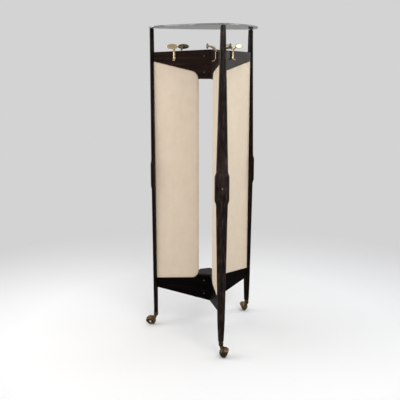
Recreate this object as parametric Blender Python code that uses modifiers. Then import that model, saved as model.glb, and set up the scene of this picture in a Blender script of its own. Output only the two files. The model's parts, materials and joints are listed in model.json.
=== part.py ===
"""Three-post coat stand with panelled fins, brass hooks, a glass top and hooded casters.

The stand is a tripod of three fins, with the front one a little askew. A fin is a post, an upper and
a lower arm that run to the hub, and a covered panel between them. Units are metres, +Z is up, and the
floor is at zero.
"""

import math

import bmesh
import bpy
from mathutils import Matrix, Vector

# Fits
FIT_GAP = 0.0003
RUNNING_GAP = 0.0015

# Posts: an oval section, widest at a raised knuckle
POST_CIRCLE = 0.340
POST_TOP = 1.738
POST_THICKNESS = 0.022
POST_TOP_WIDTH = 0.0265
POST_WAIST_WIDTH = 0.062
POST_SHIN_WIDTH = 0.040
POST_SHIN_HEIGHT = 0.190
POST_FOOT_WIDTH = 0.030
POST_TOP_EASE = 0.0015
KNUCKLE_WIDTH = 0.0775
KNUCKLE_BOTTOM = 0.838
KNUCKLE_TOP = 1.012
KNUCKLE_PROUD = 0.0035
KNUCKLE_SHOULDER = 0.026
CROWN_POWER = 2.1
FLAT_POWER = 4.0
POST_SIDES = 20
SHOULDER_STEPS = 4

# Arms: boards between a post and the hub
ARM_THICKNESS = 0.022
ARM_EDGE_EASE = 0.0015
TENON_LENGTH = 0.010
TENON_THICKNESS = 0.009
TENON_SHOULDER = 0.009
UPPER_ARM_DROP = 0.126
UPPER_ARM_POST_DEPTH = 0.050
UPPER_ARM_TOP_RISE = 0.015
UPPER_ARM_SLOPE = math.radians(13.0)
LOWER_ARM_POST_TOP = 0.298
LOWER_ARM_POST_DEPTH = 0.056
LOWER_ARM_UNDERSIDE_DROP = 0.061
LOWER_ARM_SLOPE = math.radians(4.8)
LOWER_HUB_RISE = 0.040

# Panels: a board in a soft cover
PANEL_INNER = 0.076
PANEL_THICKNESS = 0.020
PANEL_UPPER_CORNER = 0.045
PANEL_LOWER_CORNER = 0.042
PANEL_COVER_WALL = 0.0035
PANEL_EDGE_EASE = 0.003
CORNER_STEPS = 8

# Hub: a block behind the side arms, screws through the arms and one bolt into the front arm
BLOCK_ARM_REACH = 0.100
BLOCK_REAR = 0.125
BLOCK_REAR_WIDTH = 0.060
BLOCK_END_MARGIN = 0.006
BLOCK_EDGE_EASE = 0.0015
HUB_SCREW_RADIUS = 0.002
HUB_SCREW_HEAD_RADIUS = 0.0048
HUB_SCREW_HEAD_HEIGHT = 0.0024
HUB_SCREW_GRIP = 0.016
HUB_SCREW_REACH = 0.041
HUB_SCREW_TOP_MARGIN = 0.034
HUB_SCREW_BOTTOM_MARGIN = 0.036
HUB_BOLT_RADIUS = 0.003
HUB_BOLT_HEAD_RADIUS = 0.0065
HUB_BOLT_HEAD_HEIGHT = 0.004
HUB_BOLT_GRIP = 0.030

# Panel screws, through the knuckle
PANEL_SCREW_RADIUS = 0.0022
PANEL_SCREW_HEAD_RADIUS = 0.0048
PANEL_SCREW_HEAD_HEIGHT = 0.0028
PANEL_SCREW_GRIP = 0.028

# Hooks: one casting with an oval head, a neck, a seat on the arm and a tongue
HOOK_HEAD_REACH = 0.050
HOOK_HEAD_RISE = 0.024
HOOK_HEAD_LENGTH = 0.066
HOOK_HEAD_HEIGHT = 0.028
HOOK_HEAD_THICKNESS = 0.0075
HOOK_NECK_HALF = 0.0034
HOOK_NECK_HALF_WIDTH = 0.0045
HOOK_CROOK_SWELL = 0.0024
HOOK_SEAT_TOP = 0.010
HOOK_SEAT_BOTTOM = 0.033
HOOK_SEAT_HALF = 0.0050
HOOK_SEAT_HALF_WIDTH = 0.0064
HOOK_TONGUE_REACH = 0.027
HOOK_TONGUE_DROP = 0.050
HOOK_TONGUE_HALF = 0.0021
HOOK_TONGUE_HALF_WIDTH = 0.0072
HOOK_TONGUE_END = 0.45
HOOK_BEND = 0.62
HOOK_SIDES = 8
HOOK_STEPS = 6

# Glass top, on pads
GLASS_THICKNESS = 0.008
GLASS_OVERHANG = 0.014
GLASS_CORNER_RADIUS = 0.045
GLASS_SIDE_BULGE = 0.058
GLASS_EDGE_EASE = 0.001
GLASS_SIDE_STEPS = 12
GLASS_CORNER_STEPS = 8
PAD_RADIUS = 0.0085
PAD_THICKNESS = 0.002

# Casters: a domed hood on a swivel stem, with a wheel on a tilted axle
SPIGOT_SHOULDER = 0.001
FERRULE_WALL = 0.003
FERRULE_EASE = 0.0012
FERRULE_FLOOR = 0.003
FERRULE_HEIGHT = 0.022
CASTER_TRAIL = 0.026
CASTER_SIDE = 0.020
WHEEL_TILT = math.radians(28)
WHEEL_RADIUS = 0.028
WHEEL_WIDTH = 0.009
WHEEL_RIM = 0.0065
WHEEL_DISH = 0.004
WHEEL_HUB_RADIUS = 0.009
WHEEL_EASE = 0.0018
HOOD_RADIUS = 0.030
HOOD_WALL = 0.0018
AXLE_RADIUS = 0.0025
AXLE_HEAD_RADIUS = 0.0058
AXLE_HEAD_HEIGHT = 0.003
AXLE_BOSS_RADIUS = 0.006
STEM_RADIUS = 0.005
STEM_LENGTH = 0.018
SWIVEL_FLANGE_RADIUS = 0.011
SWIVEL_FLANGE_HEIGHT = 0.004
NECK_HOOD_RADIUS = 0.013
NECK_STEM_RADIUS = 0.0085
ROUND_STEPS = 20
SMALL_ROUND_STEPS = 10

# Where each fin points and where its caster trails, in degrees about +Z
FRONT_FIN_ANGLE = -100.0
SIDE_FIN_ANGLE = 30.0
FIN_ANGLES = {"front": FRONT_FIN_ANGLE, "right": SIDE_FIN_ANGLE, "left": 180.0 - SIDE_FIN_ANGLE}
CASTER_HEADINGS = {"front": -105.0, "right": 74.0, "left": 145.0}
HUB_SCREW_FACES = {"left": 1, "right": -1}

# Distance from the axis of each fin's hooks: on its counter-clockwise face, then on its clockwise face
HOOK_REACHES = {"front": (0.205, 0.230), "right": (0.204, 0.155), "left": (0.208, 0.176)}

# Derived sizes
POST_INNER = POST_CIRCLE - POST_THICKNESS / 2
ARM_END = POST_INNER - FIT_GAP
ARM_FACE = ARM_THICKNESS / 2
UPPER_ARM_POST_TOP = POST_TOP - UPPER_ARM_DROP
UPPER_ARM_POST_BOTTOM = UPPER_ARM_POST_TOP - UPPER_ARM_POST_DEPTH
LOWER_ARM_POST_BOTTOM = LOWER_ARM_POST_TOP - LOWER_ARM_POST_DEPTH
UPPER_HUB_TOP = UPPER_ARM_POST_TOP + UPPER_ARM_TOP_RISE
LOWER_HUB_BOTTOM = LOWER_ARM_POST_BOTTOM - LOWER_ARM_UNDERSIDE_DROP
PANEL_SCREW_HEIGHT = (KNUCKLE_BOTTOM + KNUCKLE_TOP) / 2
KNUCKLE_FACE = POST_CIRCLE + POST_THICKNESS / 2 + KNUCKLE_PROUD
GLASS_CORNER_CENTRE = POST_CIRCLE + GLASS_OVERHANG - GLASS_CORNER_RADIUS
GLASS_BOTTOM = POST_TOP + PAD_THICKNESS + 2 * FIT_GAP
WHEEL_BACK = RUNNING_GAP / 3
HOOD_RIM = WHEEL_BACK - RUNNING_GAP
TREAD_FRONT = WHEEL_BACK + WHEEL_WIDTH - WHEEL_EASE
HOOD_HEIGHT = TREAD_FRONT * math.sin(WHEEL_TILT) + WHEEL_RADIUS * math.cos(WHEEL_TILT)
SWIVEL_TOP = HOOD_HEIGHT + HOOD_RADIUS + RUNNING_GAP
FERRULE_BOTTOM = SWIVEL_TOP + FIT_GAP
FERRULE_TOP = FERRULE_BOTTOM + FERRULE_HEIGHT
POST_FOOT = FERRULE_TOP + FIT_GAP
SPIGOT_RADIUS = POST_THICKNESS / 2 - SPIGOT_SHOULDER
FERRULE_RADIUS = SPIGOT_RADIUS + FIT_GAP + FERRULE_WALL
SPIGOT_BOTTOM = FERRULE_BOTTOM + FERRULE_FLOOR + FIT_GAP
UPRIGHT = Matrix.Rotation(math.radians(90), 4, "X")


def clear_scene():
    """Removes every object of the scene."""
    for obj in list(bpy.data.objects):
        bpy.data.objects.remove(obj)


def finish(name, colour, roughness, metallic=0.0):
    """Returns a Principled material of one colour."""
    material = bpy.data.materials.new(name)
    material.use_nodes = True
    shader = material.node_tree.nodes["Principled BSDF"]
    shader.inputs["Base Color"].default_value = (*colour, 1.0)
    shader.inputs["Roughness"].default_value = roughness
    shader.inputs["Metallic"].default_value = metallic
    return material


# Solids, made as temporary objects at the origin


def workpiece(mesh):
    """Returns a new scene object that holds a mesh."""
    obj = bpy.data.objects.new("workpiece", mesh)
    bpy.context.scene.collection.objects.link(obj)
    return obj


def evaluated(obj):
    """Returns an object's mesh with its modifiers applied."""
    bpy.context.view_layer.update()
    depsgraph = bpy.context.evaluated_depsgraph_get()
    return bpy.data.meshes.new_from_object(obj.evaluated_get(depsgraph))


def from_bmesh(bm):
    """Returns a workpiece of a bmesh, with its faces turned outwards."""
    bmesh.ops.recalc_face_normals(bm, faces=bm.faces)
    mesh = bpy.data.meshes.new("solid")
    bm.to_mesh(mesh)
    bm.free()
    return workpiece(mesh)


def welded(obj):
    """Replaces an object's mesh by its evaluated mesh with doubles merged, and drops its modifiers."""
    mesh = evaluated(obj)
    bm = bmesh.new()
    bm.from_mesh(mesh)
    bmesh.ops.remove_doubles(bm, verts=bm.verts, dist=1e-6)
    bpy.data.objects.remove(obj)
    return from_bmesh(bm)


def combine(base, tool, operation):
    """Applies a Boolean of a tool to a base, and removes the tool."""
    modifier = base.modifiers.new(operation.lower(), "BOOLEAN")
    modifier.operation = operation
    modifier.object = tool
    base.data = evaluated(base)
    base.modifiers.clear()
    bpy.data.objects.remove(tool)
    return base


def cut(base, tool):
    """Takes a tool's solid out of a base."""
    return combine(base, tool, "DIFFERENCE")


def join(base, tool):
    """Adds a tool's solid to a base."""
    return combine(base, tool, "UNION")


def eased(obj, width, angle=math.radians(50)):
    """Bevels the sharp edges of a workpiece."""
    bevel = obj.modifiers.new("ease", "BEVEL")
    bevel.width = width
    bevel.segments = 1
    bevel.limit_method = "ANGLE"
    bevel.angle_limit = angle
    obj.data = evaluated(obj)
    obj.modifiers.clear()
    return obj


def box(low, high):
    """Returns a box between two corners."""
    low, high = Vector(low), Vector(high)
    size = high - low
    bm = bmesh.new()
    placement = Matrix.Translation((low + high) / 2) @ Matrix.Diagonal((*size, 1))
    bmesh.ops.create_cube(bm, size=1.0, matrix=placement)
    return from_bmesh(bm)


def along(start, end):
    """Returns the placement whose Z axis runs from start to end, at their midpoint, and their distance."""
    start, end = Vector(start), Vector(end)
    run = end - start
    turn = run.to_track_quat("Z", "Y").to_matrix().to_4x4()
    return Matrix.Translation((start + end) / 2) @ turn, run.length


def cone(start, end, start_radius, end_radius, steps=SMALL_ROUND_STEPS):
    """Returns a round bar or cone between two points."""
    placement, length = along(start, end)
    bm = bmesh.new()
    bmesh.ops.create_cone(
        bm,
        cap_ends=True,
        segments=steps,
        radius1=start_radius,
        radius2=end_radius,
        depth=length,
        matrix=placement,
    )
    return from_bmesh(bm)


def bar(start, end, radius, steps=SMALL_ROUND_STEPS):
    """Returns a round bar between two points."""
    return cone(start, end, radius, radius, steps)


def ball(radius, placement, columns, rows):
    """Returns a sphere with its poles on the placement's Z axis."""
    bm = bmesh.new()
    bmesh.ops.create_uvsphere(bm, u_segments=columns, v_segments=rows, radius=radius, matrix=placement)
    return from_bmesh(bm)


def prism(outline, thickness, placement=Matrix.Identity(4)):
    """Returns a flat outline, extruded to both sides of its plane."""
    curve = bpy.data.curves.new("outline", "CURVE")
    curve.dimensions = "2D"
    curve.fill_mode = "BOTH"
    curve.extrude = thickness / 2
    spline = curve.splines.new("POLY")
    spline.points.add(len(outline) - 1)
    for point, (x, y) in zip(spline.points, outline):
        point.co = (x, y, 0.0, 1.0)
    spline.use_cyclic_u = True
    solid = welded(workpiece(curve))
    solid.data.transform(placement)
    return solid


def turned(profile, steps, placement=Matrix.Identity(4), closed=False):
    """Returns a turned solid: radius and height points, from the top down the outer side."""
    bm = bmesh.new()
    points = [bm.verts.new((radius, 0.0, height)) for radius, height in profile]
    for first, second in zip(points, points[1:]):
        bm.edges.new((first, second))
    if closed:
        bm.edges.new((points[-1], points[0]))
    mesh = bpy.data.meshes.new("profile")
    bm.to_mesh(mesh)
    bm.free()
    obj = workpiece(mesh)
    screw = obj.modifiers.new("turn", "SCREW")
    screw.axis = "Z"
    screw.steps = steps
    screw.render_steps = steps
    screw.use_merge_vertices = True
    screw.merge_threshold = 1e-6
    solid = welded(obj)
    solid.data.transform(placement)
    return solid


def loft(rings):
    """Returns a solid through rings of equally many points, closed at both ends."""
    bm = bmesh.new()
    loops = [[bm.verts.new(point) for point in ring] for ring in rings]
    for lower, upper in zip(loops, loops[1:]):
        for i in range(len(lower)):
            j = (i + 1) % len(lower)
            bm.faces.new((lower[i], lower[j], upper[j], upper[i]))
    bm.faces.new(loops[0])
    bm.faces.new(loops[-1])
    return from_bmesh(bm)


def trimmed(obj, point, normal):
    """Cuts away what lies on the normal's side of a plane, and closes the cut."""
    bm = bmesh.new()
    bm.from_mesh(obj.data)
    cut_geometry = bmesh.ops.bisect_plane(
        bm,
        geom=bm.verts[:] + bm.edges[:] + bm.faces[:],
        plane_co=point,
        plane_no=normal,
        clear_outer=True,
    )["geom_cut"]
    rim = [item for item in cut_geometry if isinstance(item, bmesh.types.BMEdge)]
    bmesh.ops.edgeloop_fill(bm, edges=rim)
    bpy.data.objects.remove(obj)
    return from_bmesh(bm)


def arc(centre, radius, start, end, steps):
    """Returns points of an arc, from one angle to another."""
    angles = [start + (end - start) * i / steps for i in range(steps + 1)]
    return [(centre[0] + radius * math.cos(a), centre[1] + radius * math.sin(a)) for a in angles]


# Post


def post_section(height, width, proud=0.0, ease=0.0):
    """Returns a post's section: crowned on the outside, flatter towards the hub."""
    ring = []
    for i in range(POST_SIDES):
        angle = 2 * math.pi * i / POST_SIDES
        across, side = math.cos(angle), math.sin(angle)
        power = CROWN_POWER if across > 0 else FLAT_POWER
        depth = POST_THICKNESS / 2 + (proud if across > 0 else 0.0) - ease
        radial = math.copysign(abs(across) ** (2 / power), across) * depth
        tangential = math.copysign(abs(side) ** (2 / power), side) * (width / 2 - ease)
        ring.append((POST_CIRCLE + radial, tangential, height))
    return ring


def shoulder(start, direction):
    """Returns the knuckle's shoulder sections, as it swells from the post's own width."""
    sections = []
    for i in range(SHOULDER_STEPS + 1):
        share = i / SHOULDER_STEPS
        swell = 0.5 - 0.5 * math.cos(math.pi * share)
        width = POST_WAIST_WIDTH + (KNUCKLE_WIDTH - POST_WAIST_WIDTH) * swell
        sections.append((start + direction * KNUCKLE_SHOULDER * share, width, KNUCKLE_PROUD * swell))
    return sections


def post_solid():
    """Returns a post with its mortises, its foot spigot and its bores for the screw and the caster stem."""
    rings = [post_section(POST_FOOT, POST_FOOT_WIDTH), post_section(POST_SHIN_HEIGHT, POST_SHIN_WIDTH)]
    rings += [post_section(z, w, p) for z, w, p in shoulder(KNUCKLE_BOTTOM, 1)]
    rings += [post_section(z, w, p) for z, w, p in reversed(shoulder(KNUCKLE_TOP, -1))]
    rings.append(post_section(POST_TOP - POST_TOP_EASE, POST_TOP_WIDTH))
    rings.append(post_section(POST_TOP, POST_TOP_WIDTH, ease=POST_TOP_EASE))
    post = loft(rings)
    spigot_top = (POST_CIRCLE, 0, POST_FOOT + SPIGOT_RADIUS)
    join(post, bar((POST_CIRCLE, 0, SPIGOT_BOTTOM), spigot_top, SPIGOT_RADIUS, ROUND_STEPS))
    stem_top = (POST_CIRCLE, 0, SWIVEL_TOP + STEM_LENGTH + RUNNING_GAP)
    cut(post, bar((POST_CIRCLE, 0, FERRULE_BOTTOM), stem_top, STEM_RADIUS + FIT_GAP))
    for top, depth in (
        (UPPER_ARM_POST_TOP, UPPER_ARM_POST_DEPTH),
        (LOWER_ARM_POST_TOP, LOWER_ARM_POST_DEPTH),
    ):
        cut(post, tenon(top, depth, FIT_GAP))
    cut(post, panel_screw_bore())
    head_seat = KNUCKLE_FACE - PANEL_SCREW_HEAD_HEIGHT - FIT_GAP
    counterbore = bar(
        (head_seat, 0, PANEL_SCREW_HEIGHT),
        (KNUCKLE_FACE + KNUCKLE_PROUD, 0, PANEL_SCREW_HEIGHT),
        PANEL_SCREW_HEAD_RADIUS + FIT_GAP,
    )
    return cut(post, counterbore)


# Arms


def tenon(top, depth, growth=0.0):
    """Returns an arm's stub tenon, or with growth the mortise for it."""
    side = TENON_THICKNESS / 2 + growth
    low = (ARM_END - TENON_SHOULDER, -side, top - depth + TENON_SHOULDER - growth)
    high = (POST_INNER + TENON_LENGTH + growth, side, top - TENON_SHOULDER + growth)
    return box(low, high)


def corner_centre(edge_height, slope, radius, rise):
    """Returns the centre of the corner arc between a panel's inner edge and an arm's sloped edge."""
    across = POST_INNER - PANEL_INNER - radius
    return PANEL_INNER + radius, edge_height + rise * (across * math.tan(slope) + radius / math.cos(slope))


UPPER_CORNER = corner_centre(UPPER_ARM_POST_BOTTOM, UPPER_ARM_SLOPE, PANEL_UPPER_CORNER, -1)
LOWER_CORNER = corner_centre(LOWER_ARM_POST_TOP, LOWER_ARM_SLOPE, PANEL_LOWER_CORNER, 1)
UPPER_HUB_BOTTOM = UPPER_CORNER[1]
LOWER_HUB_TOP = LOWER_ARM_POST_TOP + LOWER_HUB_RISE


def upper_corner_arc(inset):
    """Returns the upper panel corner, from the arm's sloped edge to the inner edge."""
    start = math.pi / 2 + UPPER_ARM_SLOPE
    return arc(UPPER_CORNER, PANEL_UPPER_CORNER - inset, start, math.pi, CORNER_STEPS)


def lower_corner_arc(inset, start=math.pi):
    """Returns the lower panel corner, from the inner edge to the arm's sloped edge."""
    end = 1.5 * math.pi - LOWER_ARM_SLOPE
    return arc(LOWER_CORNER, PANEL_LOWER_CORNER - inset, start, end, CORNER_STEPS)


def panel_edge(height, slope, rise, inset, reach):
    """Returns the point of an inset panel's sloped edge at a distance from the stand's axis."""
    return reach, height + rise * ((POST_INNER - reach) * math.tan(slope) + inset / math.cos(slope))


def panel_outline(inset, reach):
    """Returns a panel's outline, inset from the arms and its inner edge, out to a given reach."""
    outer_bottom = panel_edge(LOWER_ARM_POST_TOP, LOWER_ARM_SLOPE, 1, inset, reach)
    outer_top = panel_edge(UPPER_ARM_POST_BOTTOM, UPPER_ARM_SLOPE, -1, inset, reach)
    return [outer_bottom, outer_top] + upper_corner_arc(inset) + lower_corner_arc(inset)


def upper_arm_top(reach):
    """Returns the height of an upper arm's top edge at a distance from the stand's axis."""
    return UPPER_ARM_POST_TOP + UPPER_ARM_TOP_RISE * (1 - reach / ARM_END)


def lower_arm_bottom(reach):
    """Returns the height of a lower arm's underside at a distance from the stand's axis."""
    return LOWER_ARM_POST_BOTTOM - LOWER_ARM_UNDERSIDE_DROP * (1 - reach / ARM_END)


def upper_arm_outline():
    """Returns an upper arm's outline, from the hub to the post."""
    post_end = [
        panel_edge(UPPER_ARM_POST_BOTTOM, UPPER_ARM_SLOPE, -1, 0.0, ARM_END),
        (ARM_END, upper_arm_top(ARM_END)),
    ]
    hub_end = [(0.0, upper_arm_top(0.0)), (0.0, UPPER_HUB_BOTTOM)]
    return hub_end + list(reversed(upper_corner_arc(0.0))) + post_end


def lower_arm_outline():
    """Returns a lower arm's outline, from the hub to the post."""
    post_end = [
        (ARM_END, lower_arm_bottom(ARM_END)),
        panel_edge(LOWER_ARM_POST_TOP, LOWER_ARM_SLOPE, 1, 0.0, ARM_END),
    ]
    below_centre = max(LOWER_CORNER[1] - LOWER_HUB_TOP, 0.0)
    start = math.pi + math.asin(below_centre / PANEL_LOWER_CORNER)
    hub_end = [(0.0, LOWER_HUB_TOP), (0.0, lower_arm_bottom(0.0))]
    return post_end + list(reversed(lower_corner_arc(0.0, start))) + hub_end


def mitre_normals(fin):
    """Returns the normals of a fin's two mitre planes, which halve the angles to the next fins."""
    normals = []
    for other, degrees in FIN_ANGLES.items():
        if other != fin:
            turn = (degrees - FIN_ANGLES[fin] + 180) % 360 - 180
            half = math.radians(turn) / 2
            normals.append(Vector((-math.sin(half), math.cos(half), 0.0)) * math.copysign(1, turn))
    return normals


def arm_solid(outline, post_top, post_depth, fin, bores):
    """Returns a fin's arm with its tenon, its mitred hub end and its bores."""
    arm = eased(prism(outline, ARM_THICKNESS, UPRIGHT), ARM_EDGE_EASE)
    for normal in mitre_normals(fin):
        arm = trimmed(arm, normal * (-FIT_GAP / 2), normal)
    join(arm, tenon(post_top, post_depth))
    for bore in bores:
        cut(arm, bore)
    return arm


def hub_screw_heights(hub_top, hub_bottom):
    """Returns the heights of an arm's two hub screws."""
    return {"top": hub_top - HUB_SCREW_TOP_MARGIN, "bottom": hub_bottom + HUB_SCREW_BOTTOM_MARGIN}


HUBS = {
    "upper": (upper_arm_top(HUB_SCREW_REACH), UPPER_HUB_BOTTOM),
    "lower": (LOWER_HUB_TOP, lower_arm_bottom(HUB_SCREW_REACH)),
}
BLOCK_SPANS = {
    "upper": (UPPER_HUB_BOTTOM + BLOCK_END_MARGIN, upper_arm_top(BLOCK_ARM_REACH) - BLOCK_END_MARGIN),
    "lower": (lower_arm_bottom(0.0) + BLOCK_END_MARGIN, LOWER_HUB_TOP - FIT_GAP),
}


def bolt_height(hub):
    """Returns the height of a hub's bolt."""
    return sum(HUBS[hub]) / 2


def hub_bores(hub, fin):
    """Returns the cutters for an arm's hub bolt and, on a side arm, its screws."""
    turn = Matrix.Rotation(-math.radians(FIN_ANGLES[fin]), 4, "Z")
    height = bolt_height(hub)
    rear, front = Vector((0, ARM_THICKNESS, height)), Vector((0, -HUB_BOLT_GRIP - FIT_GAP, height))
    bores = [bar(turn @ rear, turn @ front, HUB_BOLT_RADIUS + FIT_GAP)]
    if fin in HUB_SCREW_FACES:
        for height in hub_screw_heights(*HUBS[hub]).values():
            ends = [(HUB_SCREW_REACH, side * ARM_THICKNESS, height) for side in (-1, 1)]
            bores.append(bar(*ends, HUB_SCREW_RADIUS + FIT_GAP))
    return bores


# Hub block and fasteners


def block_outline():
    """Returns the hub block's plan, which fills the corner between the two side arms."""
    seat = ARM_FACE + FIT_GAP
    run = Vector((math.cos(math.radians(SIDE_FIN_ANGLE)), math.sin(math.radians(SIDE_FIN_ANGLE))))
    inward = Vector((-run.y, run.x))
    reach = run * BLOCK_ARM_REACH + inward * seat
    half = BLOCK_REAR_WIDTH / 2
    apex = (0.0, seat / inward.y)
    return [apex, (reach.x, reach.y), (half, BLOCK_REAR), (-half, BLOCK_REAR), (-reach.x, reach.y)]


def block_solid(hub):
    """Returns a hub block with its bores."""
    low, high = BLOCK_SPANS[hub]
    block = prism(block_outline(), high - low, Matrix.Translation((0, 0, (low + high) / 2)))
    eased(block, BLOCK_EDGE_EASE)
    height = bolt_height(hub)
    cut(block, bar((0, 0, height), (0, 2 * BLOCK_REAR, height), HUB_BOLT_RADIUS + FIT_GAP))
    for fin, face in HUB_SCREW_FACES.items():
        turn = Matrix.Rotation(math.radians(FIN_ANGLES[fin]), 4, "Z")
        depth = ARM_FACE + HUB_SCREW_GRIP + FIT_GAP
        for height in hub_screw_heights(*HUBS[hub]).values():
            ends = [turn @ Vector((HUB_SCREW_REACH, -face * y, height)) for y in (0.0, depth)]
            cut(block, bar(*ends, HUB_SCREW_RADIUS + FIT_GAP))
    return block


def fastener(head_radius, head_height, shank_radius, shank_length):
    """Returns a round-headed screw: its head's underside at zero, its shank down -Z."""
    profile = [
        (0.0, head_height),
        (head_radius * 0.6, head_height * 0.85),
        (head_radius, head_height * 0.3),
        (head_radius, 0.0),
        (shank_radius, 0.0),
        (shank_radius, -shank_length + shank_radius),
        (0.0, -shank_length),
    ]
    return turned(profile, SMALL_ROUND_STEPS)


# Panel


def panel_cover_solid():
    """Returns a panel's cover: a shell, open towards the post."""
    cover = eased(prism(panel_outline(FIT_GAP, ARM_END), PANEL_THICKNESS, UPRIGHT), PANEL_EDGE_EASE)
    hollow = panel_outline(FIT_GAP + PANEL_COVER_WALL, POST_CIRCLE)
    return cut(cover, prism(hollow, PANEL_THICKNESS - 2 * PANEL_COVER_WALL, UPRIGHT))


def panel_core_solid():
    """Returns a panel's board, with the bore for its screw."""
    inset = PANEL_COVER_WALL + 2 * FIT_GAP
    core = prism(panel_outline(inset, ARM_END), PANEL_THICKNESS - 2 * inset + 2 * FIT_GAP, UPRIGHT)
    return cut(core, panel_screw_bore())


def panel_screw_bore():
    """Returns the cutter for a panel screw's shank, through the post and into the board."""
    depth = POST_INNER - PANEL_SCREW_GRIP - FIT_GAP
    return bar(
        (depth, 0, PANEL_SCREW_HEIGHT),
        (KNUCKLE_FACE, 0, PANEL_SCREW_HEIGHT),
        PANEL_SCREW_RADIUS + FIT_GAP,
    )


# Hook


def bezier(points, share):
    """Returns a point of a cubic Bezier curve."""
    a, b, c, d = points
    rest = 1 - share
    return a * rest**3 + b * 3 * share * rest**2 + c * 3 * share**2 * rest + d * share**3


def hook_path():
    """Returns the casting's centre line from head to tongue tip, with half thickness and half width."""
    seat = FIT_GAP + HOOK_SEAT_HALF
    head = Vector((HOOK_HEAD_REACH, HOOK_HEAD_RISE))
    seat_top, seat_bottom = Vector((seat, -HOOK_SEAT_TOP)), Vector((seat, -HOOK_SEAT_BOTTOM))
    tip = Vector((HOOK_TONGUE_REACH, -HOOK_TONGUE_DROP))
    neck = (
        head,
        head - Vector((HOOK_BEND * (head.x - seat), 0)),
        seat_top + Vector((0, HOOK_BEND * (head.y - seat_top.y))),
        seat_top,
    )
    tongue = (
        seat_bottom,
        seat_bottom - Vector((0, HOOK_BEND * (seat_bottom.y - tip.y))),
        tip - Vector((HOOK_BEND * (tip.x - seat), 0)),
        tip,
    )
    path = []
    for i in range(HOOK_STEPS + 1):
        share = i / HOOK_STEPS
        swell = HOOK_CROOK_SWELL * (4 * share * (1 - share)) ** 2
        half = HOOK_NECK_HALF + (HOOK_SEAT_HALF - HOOK_NECK_HALF) * share + swell
        width = HOOK_NECK_HALF_WIDTH + (HOOK_SEAT_HALF_WIDTH - HOOK_NECK_HALF_WIDTH) * share
        path.append((bezier(neck, share), half, width))
    for i in range(HOOK_STEPS + 1):
        share = i / HOOK_STEPS
        half = HOOK_SEAT_HALF + (HOOK_TONGUE_HALF - HOOK_SEAT_HALF) * share
        width = HOOK_SEAT_HALF_WIDTH + (HOOK_TONGUE_HALF_WIDTH - HOOK_SEAT_HALF_WIDTH) * share
        end = HOOK_TONGUE_END if i == HOOK_STEPS else 1.0
        path.append((bezier(tongue, share), half * end, width * end))
    return path


def hook_solid():
    """Returns a hook: X along the arm, Y away from the arm's face, Z up from the arm's top edge."""
    path = hook_path()
    rings = []
    for i, (point, half, width) in enumerate(path):
        before, after = path[max(i - 1, 0)][0], path[min(i + 1, len(path) - 1)][0]
        run = (after - before).normalized()
        outward = Vector((-run.y, run.x))
        ring = []
        for k in range(HOOK_SIDES):
            angle = 2 * math.pi * k / HOOK_SIDES
            place = point + outward * half * math.sin(angle)
            ring.append((width * math.cos(angle), place.x, place.y))
        rings.append(ring)
    size = Matrix.Diagonal((HOOK_HEAD_LENGTH / 2, HOOK_HEAD_THICKNESS / 2, HOOK_HEAD_HEIGHT / 2, 1))
    place = Matrix.Translation((0, HOOK_HEAD_REACH, HOOK_HEAD_RISE))
    head = ball(1.0, place @ size @ UPRIGHT, ROUND_STEPS, HOOK_SIDES)
    return join(loft(rings), head)


# Glass top


def glass_side(start, end):
    """Returns the middle angle, centre offset, radius and half spread of a side between two corners."""
    half = (end - start) / 2
    chord = GLASS_CORNER_CENTRE * math.cos(half)
    reach = chord + GLASS_SIDE_BULGE
    offset = (GLASS_CORNER_CENTRE**2 - reach**2) / (2 * GLASS_SIDE_BULGE)
    spread = math.atan2(GLASS_CORNER_CENTRE * math.sin(half), chord + offset)
    return start + half, offset, reach + offset + GLASS_CORNER_RADIUS, spread


def glass_outline():
    """Returns the glass's plan: round corners over the posts, joined smoothly by bowed sides."""
    corners = [math.radians(degrees) for degrees in sorted(FIN_ANGLES.values())]
    corners.append(corners[0] + 2 * math.pi)
    sides = [glass_side(start, end) for start, end in zip(corners, corners[1:])]
    outline = []
    for i, (middle, offset, radius, spread) in enumerate(sides):
        before = sides[i - 1]
        start = before[0] + before[3] - (2 * math.pi if i == 0 else 0.0)
        round_centre = [GLASS_CORNER_CENTRE * part for part in (math.cos(corners[i]), math.sin(corners[i]))]
        outline += arc(round_centre, GLASS_CORNER_RADIUS, start, middle - spread, GLASS_CORNER_STEPS)
        side_centre = (-offset * math.cos(middle), -offset * math.sin(middle))
        outline += arc(side_centre, radius, middle - spread, middle + spread, GLASS_SIDE_STEPS)[1:-1]
    return outline


def glass_solid():
    """Returns the glass top."""
    place = Matrix.Translation((0, 0, GLASS_BOTTOM + GLASS_THICKNESS / 2))
    return eased(prism(glass_outline(), GLASS_THICKNESS, place), GLASS_EDGE_EASE)


# Caster, with its stem on the Z axis, its trail along X and its wheel facing Y


def axle_placement():
    """Returns the placement whose Z axis is the wheel's axle and whose X axis points down the wheel."""
    out = Vector((0.0, math.cos(WHEEL_TILT), -math.sin(WHEEL_TILT)))
    down = Vector((0.0, -math.sin(WHEEL_TILT), -math.cos(WHEEL_TILT)))
    turn = Matrix((down, out.cross(down), out)).transposed().to_4x4()
    return Matrix.Translation((CASTER_TRAIL, CASTER_SIDE, HOOD_HEIGHT)) @ turn


def ferrule_solid():
    """Returns the sleeve that caps a post's foot, with the bore for the stem in its floor."""
    inner = FERRULE_RADIUS - FERRULE_WALL
    floor = FERRULE_BOTTOM + FERRULE_FLOOR
    bore = STEM_RADIUS + FIT_GAP
    profile = [
        (inner, FERRULE_TOP),
        (FERRULE_RADIUS - FERRULE_EASE, FERRULE_TOP),
        (FERRULE_RADIUS, FERRULE_TOP - FERRULE_EASE),
        (FERRULE_RADIUS, FERRULE_BOTTOM + FERRULE_EASE),
        (FERRULE_RADIUS - FERRULE_EASE, FERRULE_BOTTOM),
        (bore, FERRULE_BOTTOM),
        (bore, floor),
        (inner, floor),
    ]
    return turned(profile, ROUND_STEPS, closed=True)


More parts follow.
